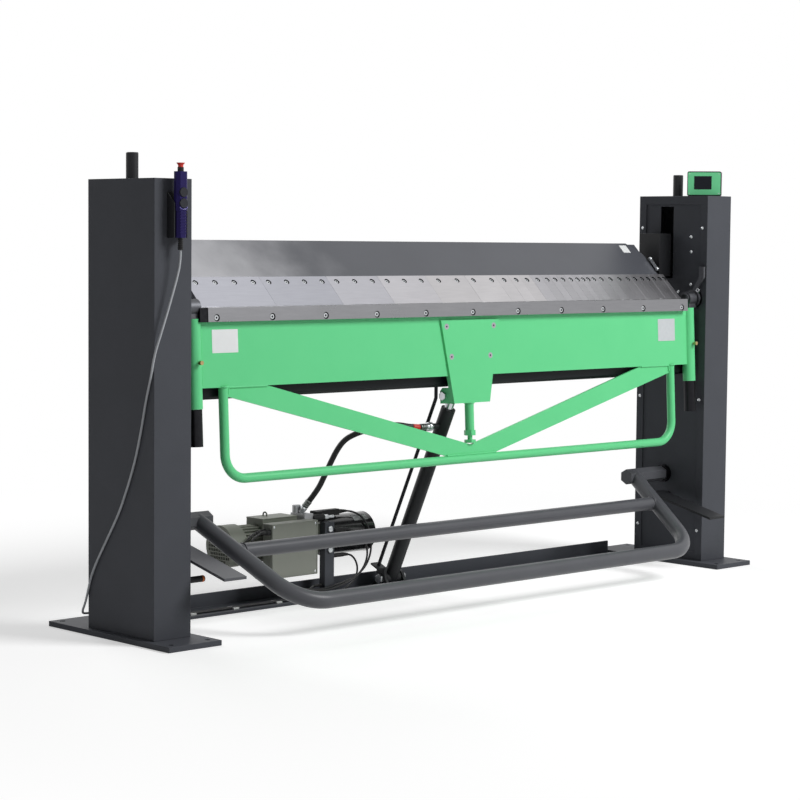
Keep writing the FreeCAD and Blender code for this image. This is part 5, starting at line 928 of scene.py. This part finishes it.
# The black hex in each bracket screw's socket is painted shade in its hole.
scattered("bracket_screw_sockets", turned(Vector(), -Z, [(0.3, 2.9), (0.5, 3.1), (2.6, 3.1)], 6),
          bracket_spots, BLACK_OXIDE_AND_SOCKET_SHADE, "folding_beam", spin=0.0)
refined("upper_pin_bolt", "folding_bolts", ZINC, 0.8, 6,
        keep=lambda m: m.z < BRACKET_BOLTS_ABOVE)
for side, word in ((1, "left"), (-1, "right")):
    spots = tips("cover_screws", X * side, lambda m, side=side: m.x * side < 0)
    if side < 0:
        spots += [(at(1103.5, y, z), X * side)
                  for y, z in ((71.8, 1116.3), (70.6, 1065.8), (123.8, 930.2), (69.4, 955.6))]
    scattered(f"{word}_cover_screw_heads", domed_head(5.8, 3.8, 0.9), spots, ZINC, "frame",
              ["cover_screws"])

# Folding beam: bars in the end tubes, the tension rod, welds and blank plates.
ROD_HALF_SPAN = 500
refined("end_bars_blackened", "folding_rods", BLACK_OXIDE_AND_SOCKET_SHADE, 0.8, 4,
        keep=lambda m: abs(m.x) > ROD_HALF_SPAN)
refined("tension_rod_coated", "folding_rods", GREEN_COAT, 0.8, 4,
        keep=lambda m: abs(m.x) < ROD_HALF_SPAN)
ENDS = ((-1, "left"), (1, "right"))
END_TUBE_X, END_TUBE_FOOT, HANDLE_X = 1062.6, 632, 963.6
# Each end tube's foot gets a thin pale ring: a painted highlight on its rim.
for x, word in ENDS:
    foot = leaned(x * END_TUBE_X, BEND_Y, END_TUBE_FOOT)
    piece(f"{word}_end_tube_lip", [turned(foot - BEAM_UP * 1.5 * MM, BEAM_UP,
          [(0, 19.6), (0.4, 20.6), (2.6, 20.8), (3.0, 21.1)], 32)],
          "folding_beam", GREEN_RIM_HIGHLIGHT)
welded("handle_welds", [
    *[ring(leaned(x, BEND_Y, 688), BEAM_UP, 14.2) for x in (-HANDLE_X, HANDLE_X)],
    *[[leaned(x + k * 15, 42.5, 686.4) for k in range(11)] for x in (-958, 808)],
    [leaned(-106 + k * 10.6, 42.8, 446.2) for k in range(21)],
    *[[leaned(x, 42.8, 668 + k * 3) for k in range(7)] for x in (-949.6, 949.6)],
    ring(leaned(0, BEND_Y, 603), BEAM_UP, 14.6, 90, 270, 12),
], GREEN_COAT, "folding_beam", 3.2)
welded("end_tube_welds", [[leaned(x, 41, 694 + k * 20) for k in range(9)] for x in (-1041, 1041)],
       GREEN_COAT, "folding_beam", 1.8)

# Blank thin plates, each between two opposite corners of its place and a little sunk in it.
PLATE_SINK, PLATE_THICKNESS, PLATE_CORNER = 0.3, 0.9, 1.5
for name, low, high, out, up, material, slot, body in (
    ("left_blank_label", leaned(-1004, 40, 782), leaned(-912, 40, 846.5), BEAM_FRONT, BEAM_UP,
     LABEL_FILM, "white_plastic", "folding_beam"),
    ("right_blank_plate", leaned(895, 40, 768.5), leaned(982, 40, 842), BEAM_FRONT, BEAM_UP,
     LABEL_METAL, "aluminium", "folding_beam"),
    ("slope_blank_label", at(909, 200.6, 1061), at(945, 224.6, 1085), SLOPE_OUT, SLOPE_UP,
     LABEL_FILM, "white_plastic", "top_beam"),
):
    span = high - low
    outline = rounded((low + high) / 2 - out * PLATE_SINK * MM, X, up, span.dot(X) / MM,
                      span.dot(up) / MM, PLATE_CORNER)
    piece(name, [slab(outline, out * PLATE_THICKNESS * MM)], body, material, soft=0.2)

# Black end block beside the blade, and the bright latch bar on the top plate's right end.
block = [leaned(-1058, y, z) for y, z in ((21, 867), (44, 867), (44, 906), (21, 906))]
piece("blade_end_block", [slab(block, X * 27 * MM)], "folding_beam", BLACK_OXIDE_AND_SOCKET_SHADE,
      soft=0.8)
run, rise = Vector((0, -39, -42)).normalized(), Vector((0, -42, 39)).normalized()
latch_top, latch_foot = at(1003, 169, 1045), at(1003, 130, 1003)
thick, half_width = X * 5 * MM, rise * 4 * MM
piece("top_latch_bar", [
    slab([latch_top - half_width, latch_foot - half_width, latch_foot + half_width,
          latch_top + half_width], thick),
    hexed(latch_top + run * 6 * MM + thick, X, -7, 4, 11),
    hexed(latch_foot - run * 6 * MM + thick, X, -7, 4, 11),
], "top_beam", ZINC)

# Hinges: the ring of the casting and the head of the lever's clamping bolt.
HINGE_X = 1050
for x, word in ENDS:
    heart = at(x * HINGE_X, BEND_Y, BEND_Z)
    piece(f"{word}_hinge_bush", [turned(heart + X * x * 1.0 * MM, -X * x, [
        (0, 17), (0.6, 18), (3.0, 18), (3.6, 17.4), (3.6, 13.6), (3.0, 13)], 32)],
        "folding_beam", LEVER_STEEL)
piece("lever_clamp_bolt_head", [turned(at(1087.2, 24, 936), -X, [
    (0, 7.2), (0.5, 7.6), (0.8, 7.2), (0.8, 3.6), (0.2, 3.3)])],
    "hinge_lever", ZINC)

# Hose ends: swivel nut and crimped ferrules, with the plain red band on the hose's sleeve.
CRIMPS = [(12, 8.6), (12.6, 10.4), (17, 10.5), (17.8, 9.7), (20, 9.7), (20.8, 10.5), (23.4, 10.5),
          (24.2, 9.7), (26.4, 9.7), (27.2, 10.5), (33.4, 10.5), (34.6, 9.9), (35.0, 9.0)]
port, tail = at(-102, 105.5, 529.7), hose_points[-1]
heading = (tail - hose_points[-2]).normalized()
piece("hose_swivel_fitting", [
    hexed(port + X * 13 * MM, -X, 0, 15, 26),
    turned(port, -X, [(1, 9.6), (3, 11.6), (6, 11.6), (8, 9.8), (12.6, 9.2)], 28),
], "cylinder_barrel", ZINC)
piece("hose_upper_ferrule", [turned(port, -X, CRIMPS, 28)], "cylinder_barrel", FERRULE_GREY)
piece("hose_lower_ferrule", [turned(tail + heading * 35 * MM, -heading, CRIMPS, 28)], "frame",
      FERRULE_GREY)
piece("hose_lower_nut", [hexed(tail + heading * 36 * MM, -heading, 0, 12, 21)], "frame", ZINC)


def stretch(line, start, end):
    """The part of a line between two lengths along it, in millimetres."""
    found, gone = [], 0.0
    for here, following in zip(line, line[1:]):
        if start <= gone <= end:
            found.append(here)
        gone += (following - here).length / MM
    return found


band_line = stretch(hose_line, 2, 34)
band = made("hose_red_band", tube_along(band_line, [(HOSE_RADIUS + 0.5) * MM] * len(band_line), 24))
band.data.materials.append(RED_PLASTIC)
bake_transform(band)

# Tapered strain reliefs with shallow rings, on the cables' own lines from their ends: the radius at
# the start and at the end, and the length.
for name, points, wide, narrow, long_mm in (
    ("valve_cable_boot", valve_points, 6.2, 3.5, 24),
    ("upper_plug_boot", upper_points, 6.0, 3.5, 24),
    ("lower_plug_boot", lower_points, 6.0, 3.5, 24),
    ("feed_cable_boot", feed_points, 4.2, 3.4, 20),
    ("valve_gland_boot", valve_points[::-1], 7.0, 3.5, 22),
    ("upper_gland_boot", upper_points[::-1], 7.0, 3.5, 22),
    ("pendant_outlet_boot", pendant_points[::-1], 6.2, 3.7, 24),
):
    line = stretch(centreline(f"{name}_line", points), 0, long_mm)
    widths = [wide + (narrow - wide) * k / (len(line) - 1) + (0.5 if k % 2 else 0.0)
              for k in range(len(line))]
    piece(name, [tube_along(line, [w * MM for w in widths])], "frame", BLACK_NYLON)

# Pendant: ribs on its grip, the lip under the lower button and the rings of its strain relief.
piece("pendant_grip_ribs", [
    slab(rounded(at(PENDANT_X, -41.7, 1110 + 7.5 * k), X, Z, 23, 3.0, 1.4), Y * -1.1 * MM)
    for k in range(8)], "frame", VIOLET_ABS, soft=0.4)
LIP_HALF_WIDTH, LIP_DROP, LIP_RADIUS = 13.5, 8.5, 1.3
lip_line = [at(PENDANT_X + LIP_HALF_WIDTH * math.sin(a), -43.4, 1181 - LIP_DROP * math.cos(a))
            for a in (math.radians(-75 + 15 * k) for k in range(11))]
# The lip's light violet is a painted highlight along the ledge.
piece("pendant_button_lip", [tube_along(lip_line, [LIP_RADIUS * MM] * len(lip_line), 10)],
      "frame", VIOLET_LIP_HIGHLIGHT)
piece("pendant_relief_rings", [
    turned(at(PENDANT_X, -30, 1066.5 + 5 * k), Z, [(0, 6.0), (0.6, 7.6), (2.4, 7.6), (3, 6.0)], 20)
    for k in range(6)], "frame", BLACK_NYLON)

# Display: case and front with rounded corners, corner screws and two round connectors.
DISPLAY = at(1166, 66, 1255)
DISPLAY_TURN, DISPLAY_HALF_DEPTH = math.radians(-55), 22.5
DX = Vector((math.cos(DISPLAY_TURN), math.sin(DISPLAY_TURN), 0))
DY = Vector((-math.sin(DISPLAY_TURN), math.cos(DISPLAY_TURN), 0))


def on_display(x, y, z):
    """A point of the display: x to its right, y from its front backwards, z up, in millimetres."""
    return DISPLAY + (DX * x + DY * (y - DISPLAY_HALF_DEPTH) + Z * z) * MM


for name, heart, size, depth, soft, material, slot, replaced in (
    ("display_case_rounded", (0, 3.4, 42), (114.6, 83.6, 6), 41.2, 1.6, BLACK_NYLON,
     "black_plastic", "display_case"),
    ("display_front_rounded", (0, 0.4, 42), (109.4, 75.9, 3.5), 3.6, 0.5, GREEN_FILM,
     "display_green", "display_front"),
    ("display_glass", (-4.2, 0.1, 45), (59, 45, 1.2), 1.0, 0.2, SCREEN_GLASS,
     "screen_glass", "display_screen"),
):
    piece(name, [slab(rounded(on_display(*heart), DX, Z, *size), DY * depth * MM)], "frame",
          material, [replaced], soft)
corners = [(on_display(sx * 49.5, 0.0, 42 + sz * 33), -DY) for sx in (-1, 1) for sz in (-1, 1)]
scattered("display_corner_screws", domed_head(2.9, 1.4, 0.6), corners, ZINC, "frame")
piece("display_connectors", [
    turned(on_display(56.6, 22, height), DX, [(-2, 6.0), (0.3, 6.4), (0.45, 6.4), (0.6, 6.0)])
    for height in (27, 55)], "frame", ZINC)

# Power pack: lid frame and screws, blank tank label, lifting eye, coil and sensor ring.
piece("control_box_lid_frame", [
    slab(rounded(at(x, 280.1, z), X, Z, width, height, 1.0), Y * -1.0 * MM)
    for x, z, width, height in ((-484, 246.5, 176, 3.0), (-484, 89.5, 176, 3.0),
                                (-571.5, 168, 3.0, 158), (-396.5, 168, 3.0, 158))],
    "frame", BOX_ENAMEL, soft=0.35)
# The frame's bolts by depth: the lid's in front, then the post's, then the pin and the coil's nut.
LID_BOLTS_BEFORE, POST_BOLTS_FROM, POST_BOLTS_BEFORE = 290, 300, 320
scattered("lid_screw_heads", domed_head(4.2, 1.8, 0.9),
          tips("frame_bolts", -Y, lambda m: m.y < LID_BOLTS_BEFORE), ZINC, "frame",
          ["frame_bolts"])
post_spots = sunk(tips("frame_bolts", -Y, lambda m: POST_BOLTS_FROM < m.y < POST_BOLTS_BEFORE), 0.2)
scattered("post_bolt_heads", hexed(Vector(), -Z, 0, 5.6, 17), post_spots, ZINC, "frame",
          spin=0.8)
refined("lower_pin_and_coil_nut", "frame_bolts", ZINC, 0.8, 5,
        keep=lambda m: m.y > POST_BOLTS_BEFORE)

TANK_Y, TANK_Z = 385, 183
LABEL_RADIUS, LABEL_STEPS = 62.5, 8
label = bmesh.new()
rows = []
for step in range(LABEL_STEPS + 1):
    angle = math.radians(113 + 24 * step / LABEL_STEPS)
    rows.append([label.verts.new(at(x, TANK_Y + LABEL_RADIUS * math.cos(angle),
                                    TANK_Z + LABEL_RADIUS * math.sin(angle)))
                 for x in (-188, -130)])
for row, following in zip(rows, rows[1:]):
    label.faces.new((row[0], following[0], following[1], row[1]))
bmesh.ops.solidify(label, geom=label.faces[:], thickness=0.4 * MM)
piece("tank_blank_label", [edgy(label)], "frame", LABEL_FILM)
bead = ring(at(-114, TANK_Y, TANK_Z), X, 61.2, steps=60)
piece("tank_end_bead", [tube_along(bead, [1.6 * MM] * len(bead), 10, False)], "frame", TANK_GLOSS)
eye = ring(at(-500, 402, 262), X, 8.5, steps=28)
piece("motor_lifting_eye", [
    tube_along(eye, [2.4 * MM] * len(eye), 12, False),
    turned(at(-500, 402, 252), Z, [(0, 6.5), (2.5, 6.5), (3.0, 4.0), (4.5, 3.6)], 20),
], "frame", MOTOR_ENAMEL)
piece("sensor_orange_ring", [turned(at(-1058, 12, 168), X, [
    (0, 9.1), (0.4, 9.4), (5.6, 9.4), (6.0, 9.1)], 28)], "frame", ORANGE_RING)
piece("valve_knob_knurled", [turned(at(-381.5, 389, 262), Z, [
    (0, 8), (0.5, 10.2), (8, 10.2), (9, 9.2), (12, 9.2), (13, 10.2), (22, 10.2), (23.2, 9.0)], 18)],
    "frame", ALUMINIUM)
piece("terminal_box_lid", [slab(rounded(at(-487.5, 385, 256.2), X, Y, 139, 79, 4), Z * 3.0 * MM)],
      "frame", MOTOR_ENAMEL, soft=0.7)

# Foot bar: rippled welds where the rail meets the arms. An arm runs from its shaft to its corner.
ARM_SHAFT, ARM_CORNER, RAIL_SHARE = (946.5, 171, 303), (848.4, -164.4, 99.1), 0.38
RAIL_RADIUS, ARM_HALF_WIDTH = 21.9, 24.6
x, y, z = (shaft + (corner - shaft) * RAIL_SHARE for shaft, corner in zip(ARM_SHAFT, ARM_CORNER))
welded("foot_bar_welds", [
    ring(at(side * x, y, z) - X * side * ARM_HALF_WIDTH * MM, X, RAIL_RADIUS) for side in (-1, 1)
], RAIL_COAT, "foot_bar", 2.6)

# ---------------- floor, world and lamps


def seen(tree):
    """1 where a ray comes from the camera, a reflection or glass."""
    rays = add(tree, "ShaderNodeLightPath").outputs
    either = add(tree, "ShaderNodeMath", {0: rays["Is Camera Ray"], 1: rays["Is Glossy Ray"]},
                 operation="MAXIMUM")
    return add(tree, "ShaderNodeMath", {0: either.outputs[0], 1: rays["Is Transmission Ray"]},
               operation="MAXIMUM").outputs[0]


WHITE = colour("#ffffff")
FLOOR_HALF, FLOOR_DROP = 30, 0.0004
floor_shape = bmesh.new()
for x, y in ((-1, -1), (1, -1), (1, 1), (-1, 1)):
    floor_shape.verts.new((x * FLOOR_HALF, y * FLOOR_HALF, -FLOOR_DROP))
floor_shape.faces.new(floor_shape.verts[:])
floor = made("studio_floor", floor_shape)

# Floor: white paper that takes the machine's shadow, lifted to plain white away from it. What it
# throws back on the machine is kept lower than what the camera sees.
floor_paint, tree, place = started("matt_white_studio_floor")
matt = add(tree, "ShaderNodeBsdfDiffuse", {"Color": colour("#e4e4e4")})
glow = add(tree, "ShaderNodeEmission", {"Color": WHITE, "Strength": 0.12})
bounce = add(tree, "ShaderNodeAddShader", {0: matt.outputs[0], 1: glow.outputs[0]})
lift = add(tree, "ShaderNodeEmission", {"Color": WHITE, "Strength": 0.46})
near = add(tree, "ShaderNodeAddShader", {0: matt.outputs[0], 1: lift.outputs[0]})
far = add(tree, "ShaderNodeEmission", {"Color": WHITE, "Strength": 1.0})
reach = add(tree, "ShaderNodeVectorMath", {0: place}, operation="LENGTH")
fading = add(tree, "ShaderNodeMapRange", {"Value": reach.outputs["Value"], "From Min": 1.4,
             "From Max": 3.2}, interpolation_type="SMOOTHSTEP")
both = add(tree, "ShaderNodeMixShader", {0: fading.outputs[0], 1: near.outputs[0],
           2: far.outputs[0]})
drawn = add(tree, "ShaderNodeMixShader", {0: seen(tree), 1: bounce.outputs[0], 2: both.outputs[0]})
add(tree, "ShaderNodeOutputMaterial", {"Surface": drawn.outputs[0]})
floor.data.materials.append(floor_paint)

world = bpy.data.worlds.new("studio")
bpy.context.scene.world = world
world.use_nodes = True
tree = world.node_tree
tree.nodes.clear()
soft = add(tree, "ShaderNodeBackground", {"Color": WHITE, "Strength": 0.13})
white = add(tree, "ShaderNodeBackground", {"Color": WHITE, "Strength": 1.0})
sky = add(tree, "ShaderNodeMixShader", {0: seen(tree), 1: soft.outputs[0], 2: white.outputs[0]})
add(tree, "ShaderNodeOutputWorld", {"Surface": sky.outputs[0]})

# Large soft lamps: place, the point they face, side in metres and power in watts.
for name, place, target, size, watts in (
    ("front_softbox", (2.2, -5.0, 4.7), (0.0, 0, 0.6), 2.6, 375),
    ("slope_softbox", (0.9, 0.0, 3.7), (-0.9, -0.05, 1.15), 1.2, 2.5),
    ("rear_softbox", (0.3, 5.6, 3.6), (0.0, 0, 0.6), 3.0, 130),
):
    lamp = linked(bpy.data.objects.new(name, bpy.data.lights.new(name, "AREA")))
    lamp.data.shape = "SQUARE"
    lamp.data.size = size
    lamp.data.energy = watts
    lamp.location = place
    lamp.rotation_euler = (Vector(target) - Vector(place)).to_track_quat("-Z", "Y").to_euler()

bpy.context.scene.view_settings.view_transform = "Standard"
